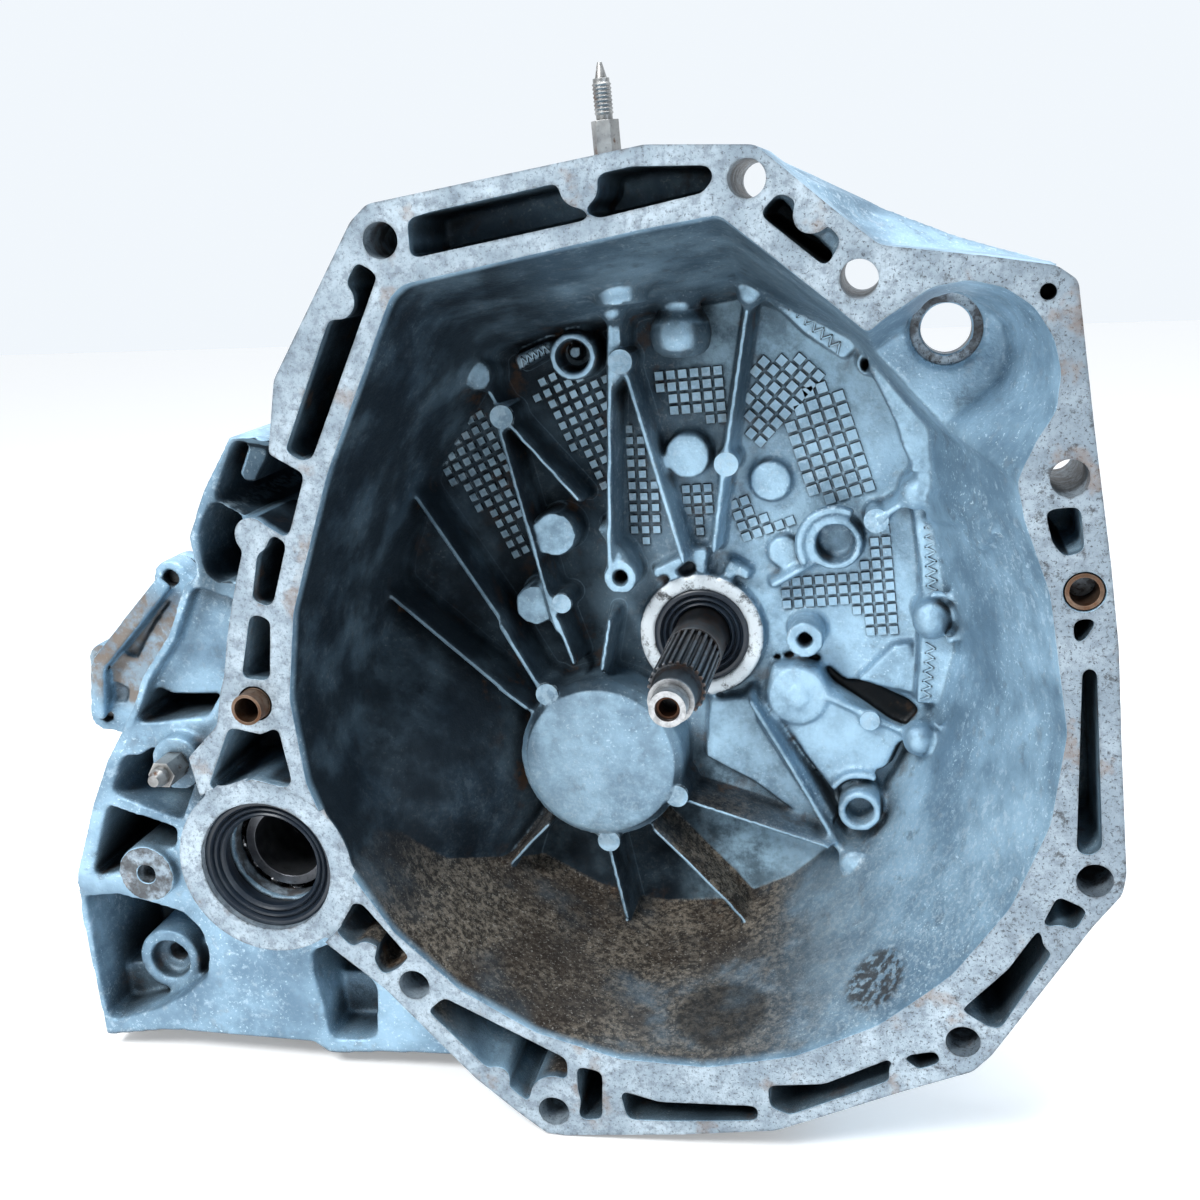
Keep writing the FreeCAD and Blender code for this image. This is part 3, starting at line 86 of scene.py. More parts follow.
def polar(centre, radius, angle):
    turn = math.radians(angle)
    return (centre[0] + radius * math.cos(turn), centre[1] + radius * math.sin(turn))


INPUT = (0.0, 0.0)
OUTPUT = polar(INPUT, CENTRE_DISTANCE, 231.8)
DIFF = polar(OUTPUT, DRIVE_DISTANCE, 188.26)
BELL_CENTRE = (-3.0, -3.0)
DOME = (-45.0, -54.0)
FLOOR_Y = 111.0                  # bell floor
JOINT_Y = 122.0                  # joint face between the bell housing and the gear case
CASE_END_Y = 322.0
ALLOWANCE = 3.0                  # metal that machining takes off the flange and the differential ring
FOOT_Z = -193.0                  # the level on which the gearbox stands
VOXEL = 1.2                      # of the bell housing
THROUGH = 90                     # holes this deep go through
BOLT_HOLE_R = 6.7
BOLT_HOLES = [                   # (x, z, depth)
    (-99, 181, 38), (35, 196, THROUGH), (73, 161, THROUGH), (145, 91, THROUGH),
    (-112, -125, 38), (-54, -181, 38), (114, -133, 38), (160, -61, 38),
]
DOWELS = [(-170.0, 0.0), (151.6, 50.3)]
SEAL_R = 21.5                    # input shaft seal
SEAL_LIP_R = 12.6
DIFF_SEAL_R = 29.5
DIFF_SEAL_LIP_R = 21.0
DIFF_RING_R = 41.0               # machined ring round the differential seal
DIFF_RING_Y = 4.0
LOWER_BOSSES = ((-243.5, -91.0), (-256.0, -152.0))
SIDE_STUD = (-216.0, -33.0)
STARTER_HOLE = (104.0, 139.0)
EARS = [                         # bolts of the joint between the bell housing and the gear case
    (-309, -48), (-305, -19.5), (-262.5, 24), (-196, 60), (-120, 84), (-40, 88), (48, 68), (92, 10),
    (93, -64), (25, -110), (-40, -142), (-112, -184), (-238, -184), (-296, -122),
]
COVER_BOLTS = [polar(INPUT, 44, a) for a in (20, 80, 140)] + [polar(OUTPUT, 44, a) for a in (180, 240, 300)]

# ribs on the bell floor: (start, end, y of the crest)
RIBS = [
    ((-84, 98), (-63, 6), 88), ((-83, 104), (-50, 66), 88), ((-130, 77.5), (-84, 4), 86),
    ((-33, 146), (-38, 36), 89), ((-28, 124), (-5, 38), 90), ((25.5, 150), (14.5, 84), 90),
    ((13.5, 78), (8.5, 43), 90), ((-42, 52), (-31, 38), 92), ((-91, 120), (-83, 104), 90),
    ((78, 56), (94, 67), 91), ((33, 25), (52, 36), 100), ((-88.7, 9.8), (-72.5, -19.1), 84),
    ((-141, 24), (-90, -20.4), 84), ((-90.7, -20.7), (-78, -30.3), 84), ((-62.8, 11.4), (-56.2, -9), 88),
    ((-38.7, 11.7), (-43.4, -12.4), 88), ((-72.7, -89), (-95.6, -113.9), 88),
    ((-43.7, -99.3), (-36.7, -135.9), 88), ((-22.7, -88.5), (9.7, -122.4), 88),
    ((9.7, -122.4), (19, -133.6), 88), ((-5.6, -74.4), (57.9, -94.1), 88),
    ((22.9, -26.7), (39.6, -55.5), 92), ((39.6, -55.5), (62.3, -97), 92), ((56.5, -25.5), (92, -42), 97),
]
THICK_RIBS = [((29, -38), (57, -84), 97), ((-33, 118), (-31, 144), 90)]
EJECTOR_MARKS = [                # flat round marks on the ribs and bosses: (centre, radius, y)
    ((-82.8, 103.4), 5.2, 87.6), ((-29.1, 126), 5.2, 87.6), ((14.8, 81.2), 5.2, 89.6),
    ((77.9, 56), 5.2, 91.6), ((-60.4, 19.1), 4.4, 87.6), ((75.6, -35.7), 4.4, 95.6),
    ((-68.3, -22.6), 5.2, 82.6), ((-10.3, -69.9), 5.2, 82.6), ((-42.8, -93.6), 5.2, 82.6),
]
BALLS = [                        # round ends of ribs at the bell wall: (centre, radius, y of the front)
    ((94.5, 68), 7.5, 85), ((101.5, 12), 8.5, 86), ((97.3, -43), 7.5, 86), ((26.5, 152.5), 6.2, 84),
    ((-31.5, 147.8), 6.2, 84), ((-92.5, 121.5), 7.0, 85), ((69.3, -102.3), 7.5, 85),
]
COLLARS = [                      # ridges round them: (centre, radius, thickness, y, first and last angle)
    ((96.5, 70), 10.0, 1.8, 86, -10, 120), ((104, 14), 11.0, 1.8, 88, -70, 110),
    ((99, -42), 9.5, 1.6, 88, -60, 70), ((27, 152), 8.5, 1.6, 85, 20, 150),
    ((60.4, 44.2), 15.5, 2.4, 98, 60, 215), ((71.5, -76.6), 14.5, 2.0, 97, 60, 150),
]
PLATE = [                        # raised plate to the right of the dome
    (32.5, -13.6), (42.8, -11.2), (52.9, -14.1), (57.9, -23), (72.3, -32.6), (84.9, -41.3), (91.6, -44.8),
    (87.5, -48.8), (83.4, -58.9), (76.6, -62.8), (64.7, -67), (59.5, -71.9), (47.6, -55.7), (35.7, -37.5),
    (27.9, -32.1),
]
GROOVE = [                       # deep groove above the plate
    (29, -11), (40.5, -8.8), (50.8, -9.5), (57, -16), (64.4, -21), (76.3, -21.7), (84.8, -27), (93.2, -31),
    (98, -36), (92, -44), (84.9, -41), (72.3, -32), (57.9, -22.5), (52.9, -13.6), (42.8, -10.8), (32.5, -13),
]
CORNER_PLATE = [(3, -31.4), (19.7, -29.1), (55.8, -91), (52.3, -93.1), (24.3, -71.3), (0.5, -58.8)]
FACET = [(85.4, -3.7), (93.6, -2.7), (94.5, -26), (78.1, -22.6), (69.7, -20.1)]
TABS = [
    [(-21.4, 31.6), (-8.2, 37.8), (-6.6, 33.4), (-19.9, 27.1)],
    [(-4.6, 41.3), (3.9, 41.4), (3.8, 36.1), (-4.4, 35.2)],
    [(14.1, 36.2), (23.3, 31), (21.5, 26.6), (12.3, 31.8)],
]
LEDGES = [                       # low ledges where the wall meets the floor: (outline, y)
    (
        [(93, 60), (96, 38), (97.5, 20), (96.5, 0), (95.5, -28), (106, -28), (110, 0), (110, 30), (103, 60)],
        98,
    ),
    ([(32.5, 149.5), (48, 135), (64, 123.5), (72, 131), (52, 148), (38, 157)], 93),
    ([(-76, 122), (-62, 129), (-60, 136), (-78, 129)], 95),
]
WALL_PADS = [                    # pads on the right wall: (points on the wall, rise)
    ([(99.4, 90, 69.1), (109.6, 60, 75.1), (115.5, 44, 73.4), (112.1, 62, 62), (106.9, 77.5, 59.1),
      (100.2, 97.5, 55.5)], 2.5),
    ([(114.7, 49, 70), (124.3, 26, 67.6), (121.3, 43.5, 55.6), (116.4, 55.5, 56.3)], 3.2),
    ([(133, 9, 61.9), (134.9, 12, 58), (135.6, 15, 52), (134.3, 19, 45.8), (132.3, 19, 50),
      (131.6, 13, 58)], 1.6),
]
SCRATCHES = [                    # zigzag marks along the ledges: (start, end, how many, half width, y)
    ((100, 56), (101.5, 22), 8, 2.2, 97.3), ((101.5, 0), (99.5, -26), 6, 2.0, 97.3),
    ((40, 149.5), (63, 128), 7, 2.0, 92.3), ((-74.5, 126), (-62, 132), 5, 1.8, 94.3),
]
SHOULDER_WEB = (                 # sloping wall from the top bolt boss to the right corner: front, back
    [
        (34.8, 205.5), (43.1, 199), (64.9, 173.8), (80.1, 165.8), (135.6, 163.6),
        (134, 160.5), (79, 162.3), (62.5, 170.8), (41, 195.5),
    ],
    [
        (35, 206.5), (57, 195.8), (78.9, 184.8), (109, 172.3), (145, 161.2),
        (140, 157), (105, 160.5), (74, 168), (38, 195),
    ],
)
POCKET_RIM = [                   # the thin rim of the extension beside its upper pocket
    (-203, 45), (-209, 33), (-214, 22), (-222, 12), (-229, 3), (-236, -12), (-241, -19),
]
POCKET_FLOOR = [                 # the shallow floor of that pocket
    (-206, 42), (-196, 43.5), (-180, 39), (-184, 27), (-189, 9), (-192, -6), (-222, -7), (-236, -1),
    (-227, 6), (-219, 13), (-212, 23), (-203, 39),
]
DOME_PROFILE = [                 # (radius, y) of the round boss at the lower left
    (0, 80.0), (31.0, 80.6), (34.6, 81.6), (36.4, 84.0), (37.0, 87.0), (0, 87.0),
]

# raised tiles on the bell floor: (outline, direction of the rows in degrees, pitch, gap)
TILE_FIELDS = [
    ([(-124, 80), (-100, 105), (-93, 103), (-86, 70), (-80, 34), (-87, 32), (-97, 51)], -65.0, 5.35, 1.5),
    ([(-75, 113), (-62, 119), (-40, 117), (-41, 67), (-45, 67), (-52, 78), (-61, 91)], -67.0, 5.35, 1.5),
    ([(-31, 99), (-27, 99), (-22, 79), (-15, 45), (-25, 42), (-31, 47)], -89.0, 5.1, 1.2),
    ([(-18, 122), (14, 124), (14, 112), (11, 96), (-8, 99), (-13, 94)], -86.0, 5.2, 0.8),
    ([(27, 122), (21, 100), (20, 84), (29, 85), (34, 94), (42, 101), (55, 114), (48, 126)], 48.0, 5.4, 0.8),
    ([(46, 112), (62, 112), (79, 68), (78, 63), (68, 60), (47, 62), (43, 76), (39, 92)], -72.0, 5.9, 0.8),
    ([(15, 62), (25, 61), (29, 54), (45, 56), (45, 51), (28, 45), (14, 44)], 20.0, 5.2, 0.8),
    ([(-7, 67), (5.5, 68), (3.5, 47), (-4, 46.5)], -87.0, 4.9, 0.8),
    ([(37, 24), (70, 30), (78, 45), (85, 52), (88, 30), (90, -2), (74, -2), (71, 10), (54, 14), (38, 13)],
     5.0, 5.1, 0.8),
]


# ---------------------------------------------------------------- solids as (vertices, faces)
def loop_between(front, back):
    """A closed solid between two outlines with the same number of points."""
    count = len(front)
    faces = [tuple(range(count)), tuple(range(2 * count - 1, count - 1, -1))]
    for k in range(count):
        after = (k + 1) % count
        faces.append((k, k + count, after + count, after))
    return front + back, faces


def at(points, y):
    return [(x, y, z) for x, z in points]


def prism(points, y0, y1):
    return loop_between(at(points, y0), at(points, y1))


def circle(centre, radius, steps=48):
    return [polar(centre, radius, 360 * k / steps) for k in range(steps)]


def disc(centre, radius, y0, y1, draft=0.0):
    return loop_between(at(circle(centre, radius), y0), at(circle(centre, radius + draft), y1))


def rib(a, b, top, base, y_top, y_base):
    """A rib with sloping sides and rounded ends between two points."""
    front = capsule(a, b, top / 2)
    back = capsule(a, b, base / 2)
    return loop_between(at(front, y_top), at(back, y_base))


def capsule(a, b, radius, steps=8):
    """The outline of a bar with round ends."""
    angle = math.degrees(math.atan2(b[1] - a[1], b[0] - a[0]))
    points = []
    for centre, start in ((b, angle - 90), (a, angle + 90)):
        points += [polar(centre, radius, start + 180 * k / steps) for k in range(steps + 1)]
    return points


def ball(centre, y, radius, rings=12, steps=24):
    vertices = []
    for r in range(1, rings):
        slope = math.pi * r / rings
        ring = circle(centre, radius * math.sin(slope), steps)
        vertices += at(ring, y - radius * math.cos(slope))
    front = len(vertices)
    vertices += [(centre[0], y - radius, centre[1]), (centre[0], y + radius, centre[1])]
    faces = []
    last = (rings - 2) * steps
    for k in range(steps):
        after = (k + 1) % steps
        faces.append((front, after, k))
        faces.append((front + 1, last + k, last + after))
        for r in range(rings - 2):
            a = r * steps
            b = a + steps
            faces.append((a + k, a + after, b + after, b + k))
    return vertices, faces


def turned(profile, centre, steps=96):
    """A closed profile of (radius, y) points turned about a line along Y."""
    count = len(profile)
    vertices = []
    for k in range(steps):
        for radius, y in profile:
            x, z = polar(centre, radius, 360 * k / steps)
            vertices.append((x, y, z))
    faces = []
    for k in range(steps):
        a = k * count
        b = (k + 1) % steps * count
        for p in range(count):
            q = (p + 1) % count
            faces.append((a + p, a + q, b + q, b + p))
    return vertices, faces


def on_wall(points, rise):
    """A low pad on the sloping bell wall, under an outline of points that lie on the wall."""
    proud = []
    sunk = []
    for x, y, z in points:
        length = math.hypot(x, z)
        proud.append((x - x / length * rise, y - 0.3 * rise, z - z / length * rise))
        sunk.append((x + x / length * 5.0, y + 2.0, z + z / length * 5.0))
    return loop_between(proud, sunk)


def hexagon(centre, across_flats, y0, y1, chamfer):
    radius = across_flats / 2 / math.cos(math.radians(30))
    flats = circle(centre, radius, 6)
    crown = circle(centre, radius - chamfer, 6)
    return [prism(flats, y0, y1), loop_between(at(flats, y1), at(crown, y1 + 0.4 * chamfer))]


def arc_ridge(centre, radius, thick, y, start, end, steps=24):
    """A rounded ridge along part of a circle."""
    vertices = []
    section = 10
    for k in range(steps + 1):
        for s in range(section):
            around = 2 * math.pi * s / section
            reach = radius + thick * math.cos(around)
            x, z = polar(centre, reach, start + (end - start) * k / steps)
            vertices.append((x, y + thick * math.sin(around), z))
    faces = [tuple(range(section)), tuple(range(steps * section + section - 1, steps * section - 1, -1))]
    for k in range(steps):
        a = k * section
        b = a + section
        for s in range(section):
            t = (s + 1) % section
            faces.append((a + s, b + s, b + t, a + t))
    return vertices, faces


def make_mesh(name, pieces):
    vertices = []
    faces = []
    for part_vertices, part_faces in pieces:
        first = len(vertices)
        vertices += [(x * MM, y * MM, z * MM) for x, y, z in part_vertices]
        faces += [tuple(first + i for i in face) for face in part_faces]
    mesh = bpy.data.meshes.new(name)
    mesh.from_pydata(vertices, [], faces)
    mesh.update()
    work = bmesh.new()
    work.from_mesh(mesh)
    bmesh.ops.recalc_face_normals(work, faces=work.faces)
    work.to_mesh(mesh)
    work.free()
    return mesh


def make_object(name, pieces, material=None):
    thing = bpy.data.objects.new(name, make_mesh(name, pieces))
    bpy.context.scene.collection.objects.link(thing)
    if material:
        thing.data.materials.append(material)
    return thing


def apply_all(thing):
    """Replaces the mesh with the result of its modifiers."""
    graph = bpy.context.evaluated_depsgraph_get()
    result = bpy.data.meshes.new_from_object(thing.evaluated_get(graph))
    old = thing.data
    thing.modifiers.clear()
    thing.data = result
    bpy.data.meshes.remove(old)


def join(name, meshes):
    """One object that holds every mesh, each kept as its own shell."""
    work = bmesh.new()
    for mesh in meshes:
        work.from_mesh(mesh)
    joined = bpy.data.meshes.new(name)
    work.to_mesh(joined)
    work.free()
    thing = bpy.data.objects.new(name, joined)
    bpy.context.scene.collection.objects.link(thing)
    return thing


def remesh(thing, voxel, smoothing):
    change = thing.modifiers.new("cast", "REMESH")
    change.mode = "VOXEL"
    change.voxel_size = voxel * MM
    change.use_smooth_shade = True
    soften = thing.modifiers.new("fillets", "SMOOTH")
    soften.factor = 0.5
    soften.iterations = smoothing
    apply_all(thing)


def machine(thing, groups, material):
    """Cuts the crisp machined faces; the pieces of one group don't touch each other."""
    for number, pieces in enumerate(groups):
        cutter = make_object("cutter_%d" % number, pieces, material)
        change = thing.modifiers.new("cut", "BOOLEAN")
        change.operation = "DIFFERENCE"
        change.solver = "MANIFOLD"
        change.material_mode = "TRANSFER"
        change.object = cutter
        apply_all(thing)
        bpy.data.objects.remove(cutter)


# ---------------------------------------------------------------- materials
class Shader:
    """Builds one procedural material. Methods return node outputs; positions are in metres."""

    def __init__(self, name):
        self.material = bpy.data.materials.new(name)
        self.material.use_nodes = True
        self.tree = self.material.node_tree
        self.body = self.tree.nodes["Principled BSDF"]
        geometry = self.tree.nodes.new("ShaderNodeNewGeometry")
        self.position = geometry.outputs["Position"]
        self.normal = geometry.outputs["Normal"]

    def node(self, kind, **inputs):
        """A node with its inputs set by name, or by number as i0, i1 and so on."""
        made = self.tree.nodes.new(kind)
        for key, value in inputs.items():
            socket = made.inputs[int(key[1:])] if key[0] == "i" and key[1:].isdigit() else made.inputs[key]
            self.feed(socket, value)
        return made

    def feed(self, socket, value):
        if isinstance(value, bpy.types.NodeSocket):
            self.tree.links.new(value, socket)
        else:
            socket.default_value = value

    def noise(self, scale, detail=4.0, rough=0.55):
        made = self.node("ShaderNodeTexNoise", Scale=scale, Detail=detail, Roughness=rough)
        self.feed(made.inputs["Vector"], self.position)
        return made.outputs["Fac"]

    def step(self, value, low, high, to_low=0.0, to_high=1.0):
        """A smooth change from to_low to to_high while the value goes from low to high."""
        made = self.node("ShaderNodeMapRange", i0=value, i1=low, i2=high, i3=to_low, i4=to_high)
        made.interpolation_type = "SMOOTHSTEP"
        return made.outputs[0]

    def math(self, operation, a, b=0.0):
        made = self.tree.nodes.new("ShaderNodeMath")
        made.operation = operation
        self.feed(made.inputs[0], a)
        self.feed(made.inputs[1], b)
        return made.outputs[0]

    def times(self, *factors):
        result = factors[0]
        for factor in factors[1:]:
            result = self.math("MULTIPLY", result, factor)
        return result

    def mix(self, amount, a, b):
        made = self.tree.nodes.new("ShaderNodeMix")
        made.data_type = "RGBA"
        self.feed(made.inputs[0], amount)
        self.feed(made.inputs[6], a)
        self.feed(made.inputs[7], b)
        return made.outputs[2]

    def axis(self, letter):
        return self.node("ShaderNodeSeparateXYZ", Vector=self.position).outputs[letter]

    def facing(self, letter):
        """The part of the normal along one axis."""
        return self.node("ShaderNodeSeparateXYZ", Vector=self.normal).outputs[letter]

    def reach(self, centre):
        """Distance from a line along Y, in metres."""
        dx = self.math("SUBTRACT", self.axis("X"), centre[0] * MM)
        dz = self.math("SUBTRACT", self.axis("Z"), centre[1] * MM)
        return self.math("SQRT", self.math("ADD", self.times(dx, dx), self.times(dz, dz)))

    def shade(self, distance, low, high, convex=False):
        """1 deep in corners (or on outside edges when convex), 0 in the open."""
        made = self.tree.nodes.new("ShaderNodeAmbientOcclusion")
        made.samples = 4
        made.inside = convex
        made.inputs["Distance"].default_value = distance * MM
        return self.step(made.outputs["AO"], low, high, 1.0, 0.0)

    def near(self, x, y, z, radius, soft):
        """1 within the radius of a point, 0 beyond it by soft; lengths in millimetres."""
        made = self.tree.nodes.new("ShaderNodeVectorMath")
        made.operation = "DISTANCE"
        self.feed(made.inputs[0], self.position)
        made.inputs[1].default_value = (x * MM, y * MM, z * MM)
        return self.step(made.outputs["Value"], radius * MM, (radius + soft) * MM, 1.0, 0.0)

    def finish(self, colour, rough, metal, height, depth=0.2, strength=1.0, round_edges=0.0):
        self.feed(self.body.inputs["Base Color"], colour)
        self.feed(self.body.inputs["Roughness"], rough)
        self.feed(self.body.inputs["Metallic"], metal)
        bump = self.node("ShaderNodeBump", Height=height)
        bump.inputs["Strength"].default_value = strength
        bump.inputs["Distance"].default_value = depth * MM
        if round_edges:
            bevel = self.node("ShaderNodeBevel", Radius=round_edges * MM)
            bevel.samples = 4
            self.feed(bump.inputs["Normal"], bevel.outputs["Normal"])
        self.feed(self.body.inputs["Normal"], bump.outputs["Normal"])
        return self.material


def rgb(r, g, b):
    return (r, g, b, 1.0)


def bell_inside(s):
    """1 inside the bell, 0 on its flange and on faces that look away from the input shaft or backwards."""
    reach = s.reach(BELL_CENTRE)
    upper = s.times(s.step(reach, 0.205, 0.198), s.step(s.axis("Z"), 0.03, 0.05))
    within = s.math("MAXIMUM", s.step(reach, 0.176, 0.168), upper)
    sideways = s.math("MULTIPLY", s.facing("X"), s.axis("X"))
    outward = s.math("ADD", sideways, s.math("MULTIPLY", s.facing("Z"), s.axis("Z")))
    within = s.times(within, s.step(outward, 0.06, 0.03), s.step(s.facing("Y"), 0.6, 0.3))
    return s.times(within, s.step(s.axis("Y"), 0.000, 0.006), s.step(s.axis("Y"), 0.1195, 0.1185))


def oil_minus_lit_faces_mask(s):
    """Oil darkening in the bell towards the left, also darker near the top and in a patch low in the middle;
    raised faces that look forward, towards the right, are left lighter as painted light.
    """
    across = s.math("MAXIMUM", s.step(s.axis("X"), 0.030, -0.070), s.near(-30, 105, -112, 52, 30))
    roof = s.times(s.step(s.axis("Z"), 0.075, 0.11), s.step(s.axis("X"), 0.12, 0.03), 0.80)
    across = s.math("MAXIMUM", across, roof)
    blotch = s.step(s.noise(38, 5), 0.30, 0.60, 0.86, 1.0)
    # Painted light: raised faces that look forward, towards the right, lose their oil darkening and stay
    # lighter.
    forward = s.step(s.facing("Y"), -0.75, -0.95)
    proud = s.step(s.axis("Y"), 0.1106, 0.1100)
    towards_right = s.step(s.axis("X"), -0.11, -0.02, 0.25, 0.9)
    front_light_cut = s.math("SUBTRACT", 1.0, s.times(forward, proud, towards_right))
    return s.times(bell_inside(s), across, blotch, front_light_cut)


def dirt_mask(s):
    """Brown dirt that lies in the bottom of the bell, thickest on the left and in the middle."""
    low = s.step(s.axis("Z"), -0.055, -0.115)
    upward = s.step(s.facing("Z"), 0.15, 0.45)
    side = s.step(s.axis("X"), 0.105, 0.015)
    patches = s.step(s.noise(34, 5), 0.32, 0.52, 0.55, 1.0)
    return s.times(bell_inside(s), low, upward, side, patches)


def dirt_colour(s):
    grain = s.step(s.noise(330, 6, 0.78), 0.42, 0.62)
    colour = s.mix(grain, rgb(0.034, 0.029, 0.024), rgb(0.205, 0.175, 0.140))
    colour = s.mix(s.step(s.noise(24, 5, 0.6), 0.44, 0.60, 0.0, 0.75), colour, rgb(0.030, 0.022, 0.017))
    return s.mix(s.times(s.step(s.noise(800, 4, 0.7), 0.58, 0.66), 0.7), colour, rgb(0.34, 0.32, 0.29))


def cast_colour(s, oil_minus_lit_faces):
    """Bare metal with pale flecks, oil, dirt, and painted light on faces that look forward."""
    base = s.mix(s.step(s.noise(22, 6, 0.6), 0.35, 0.68), rgb(0.135, 0.230, 0.320), rgb(0.36, 0.55, 0.70))
    stains = s.step(s.noise(130, 5, 0.65), 0.54, 0.72)
    base = s.mix(s.times(stains, 0.60), base, rgb(0.075, 0.115, 0.155))
    bright = s.times(s.step(s.noise(260, 6, 0.7), 0.52, 0.64), s.step(s.noise(14, 4), 0.38, 0.60))
    base = s.mix(s.times(bright, 0.55), base, rgb(0.58, 0.74, 0.86))
    fleck = s.times(s.step(s.noise(620, 4, 0.7), 0.58, 0.66), s.step(s.noise(45, 3), 0.34, 0.60))
    base = s.mix(s.times(fleck, 0.80), base, rgb(0.66, 0.84, 0.95))
    low = s.step(s.axis("Z"), -0.03, -0.10)
    grit = s.times(low, s.step(s.noise(480, 5, 0.75), 0.48, 0.62), bell_inside(s))
    base = s.mix(s.times(grit, 0.45), base, rgb(0.55, 0.66, 0.74))
    base = s.mix(s.times(oil_minus_lit_faces, 0.97), base, rgb(0.006, 0.009, 0.013))
    base = s.mix(s.times(dirt_mask(s), 0.93), base, dirt_colour(s))
    base = s.mix(s.times(s.near(15, 30, -146, 17, 5), 0.60), base, rgb(0.018, 0.015, 0.013))
    flakes = s.times(s.near(80, 22, -121, 12, 5), s.step(s.noise(300, 5), 0.40, 0.55), 0.80)
    base = s.mix(flakes, base, rgb(0.03, 0.018, 0.010))
    # Painted light: faces that look forward take a lighter colour.
    front_lit, front_lit_colour = front_face_light(s)
    return s.mix(front_lit, base, front_lit_colour)


def front_face_light(s):
    """Painted light: where faces that look forward are painted lighter, and that lighter colour; on the left
    only those off the floor.
    """
    right = s.step(s.axis("X"), -0.02, 0.02)
    on_floor = s.times(right, s.step(s.axis("Y"), 0.1118, 0.1113))
    level = s.math("MAXIMUM", s.step(s.axis("Y"), 0.1106, 0.1098), on_floor)
    front_lit = s.times(s.step(s.facing("Y"), -0.80, -0.97), level, s.step(s.axis("Y"), 0.070, 0.080))
    front_lit = s.times(front_lit, s.step(s.noise(70, 6, 0.7), 0.36, 0.64, 0.25, 1.0))
    front_lit = s.times(front_lit, s.step(s.axis("X"), -0.13, -0.03, 0.15, 0.80))
    dome = s.times(s.near(-45, 81, -54, 40, 3), s.step(s.noise(60, 6, 0.7), 0.35, 0.65, 0.85, 0.30))
    return front_lit, s.mix(dome, rgb(0.44, 0.66, 0.82), rgb(0.09, 0.14, 0.19))


def seal_ring(s, base):
    """The rough bright ring round the input shaft seal."""
    reach = s.reach(INPUT)
    ring = s.times(
        s.step(reach, 0.0200, 0.0206), s.step(reach, 0.0290, 0.0284),
        s.step(s.axis("Y"), 0.1055, 0.1048), s.step(s.axis("Y"), 0.09, 0.10),
    )
    rough = s.mix(s.step(s.noise(150, 6, 0.75), 0.50, 0.64), rgb(0.72, 0.77, 0.80), rgb(0.06, 0.05, 0.045))
    return s.mix(s.times(ring, 0.90), base, rough)


def cast_aluminium():
    s = Shader("cast_aluminium")
    grain = s.noise(900, 3, 0.7)
    oil_minus_lit_faces = oil_minus_lit_faces_mask(s)
    base = seal_ring(s, cast_colour(s, oil_minus_lit_faces))
    web = s.near(-285, 112, -10, 30, 10)
    rusty = s.step(s.noise(90, 5, 0.65), 0.40, 0.60, 0.35, 0.85)
    base = s.mix(s.times(web, s.step(s.facing("Y"), -0.5, -0.9), rusty), base, rgb(0.20, 0.135, 0.085))
    # Painted shade: deep pockets outside the bell go near black.
    pocket_shade = s.times(s.math("SUBTRACT", 1.0, bell_inside(s)), s.shade(24, 0.42, 0.72))
    base = s.mix(s.times(pocket_shade, 0.92), base, rgb(0.008, 0.010, 0.012))
    # Painted shade: corners and creases darken, at a wide and a fine size.
    base = s.mix(s.times(s.shade(9, 0.30, 0.80), 0.90), base, rgb(0.006, 0.007, 0.009))
    base = s.mix(s.times(s.shade(2, 0.35, 0.85), 0.75), base, rgb(0.004, 0.006, 0.009))
    # Painted shade: everything deeper than the bell floor, in the groove above the plate, goes black.
    deep_groove_shade = s.times(s.step(s.axis("Y"), 0.1112, 0.1125), bell_inside(s))
    base = s.mix(deep_groove_shade, base, rgb(0.004, 0.005, 0.006))
    # Brown grime in patches, laid by AO into hollows: partly painted shade.
    brown_grime_and_shade = s.times(s.step(s.noise(75, 5, 0.65), 0.55, 0.68), s.shade(16, 0.50, 0.85))
    base = s.mix(s.times(brown_grime_and_shade, 0.55), base, rgb(0.085, 0.045, 0.022))
    edges = s.times(s.shade(1.6, 0.25, 0.75, True), s.step(s.noise(300, 4), 0.42, 0.58))
    base = s.mix(s.times(edges, 0.40), base, rgb(0.42, 0.55, 0.64))
    rough = s.math("ADD", s.times(grain, 0.20), s.math("ADD", s.times(oil_minus_lit_faces, 0.12), 0.38))
    s.feed(s.body.inputs["Specular IOR Level"], s.step(oil_minus_lit_faces, 0.2, 0.8, 0.5, 0.04))
    metal = s.step(oil_minus_lit_faces, 0.0, 0.6, 0.35, 0.0)
    height = s.math("ADD", s.times(grain, 0.8), s.times(s.noise(260, 4), 1.3))
    return s.finish(base, rough, metal, height, 0.34, 0.9)


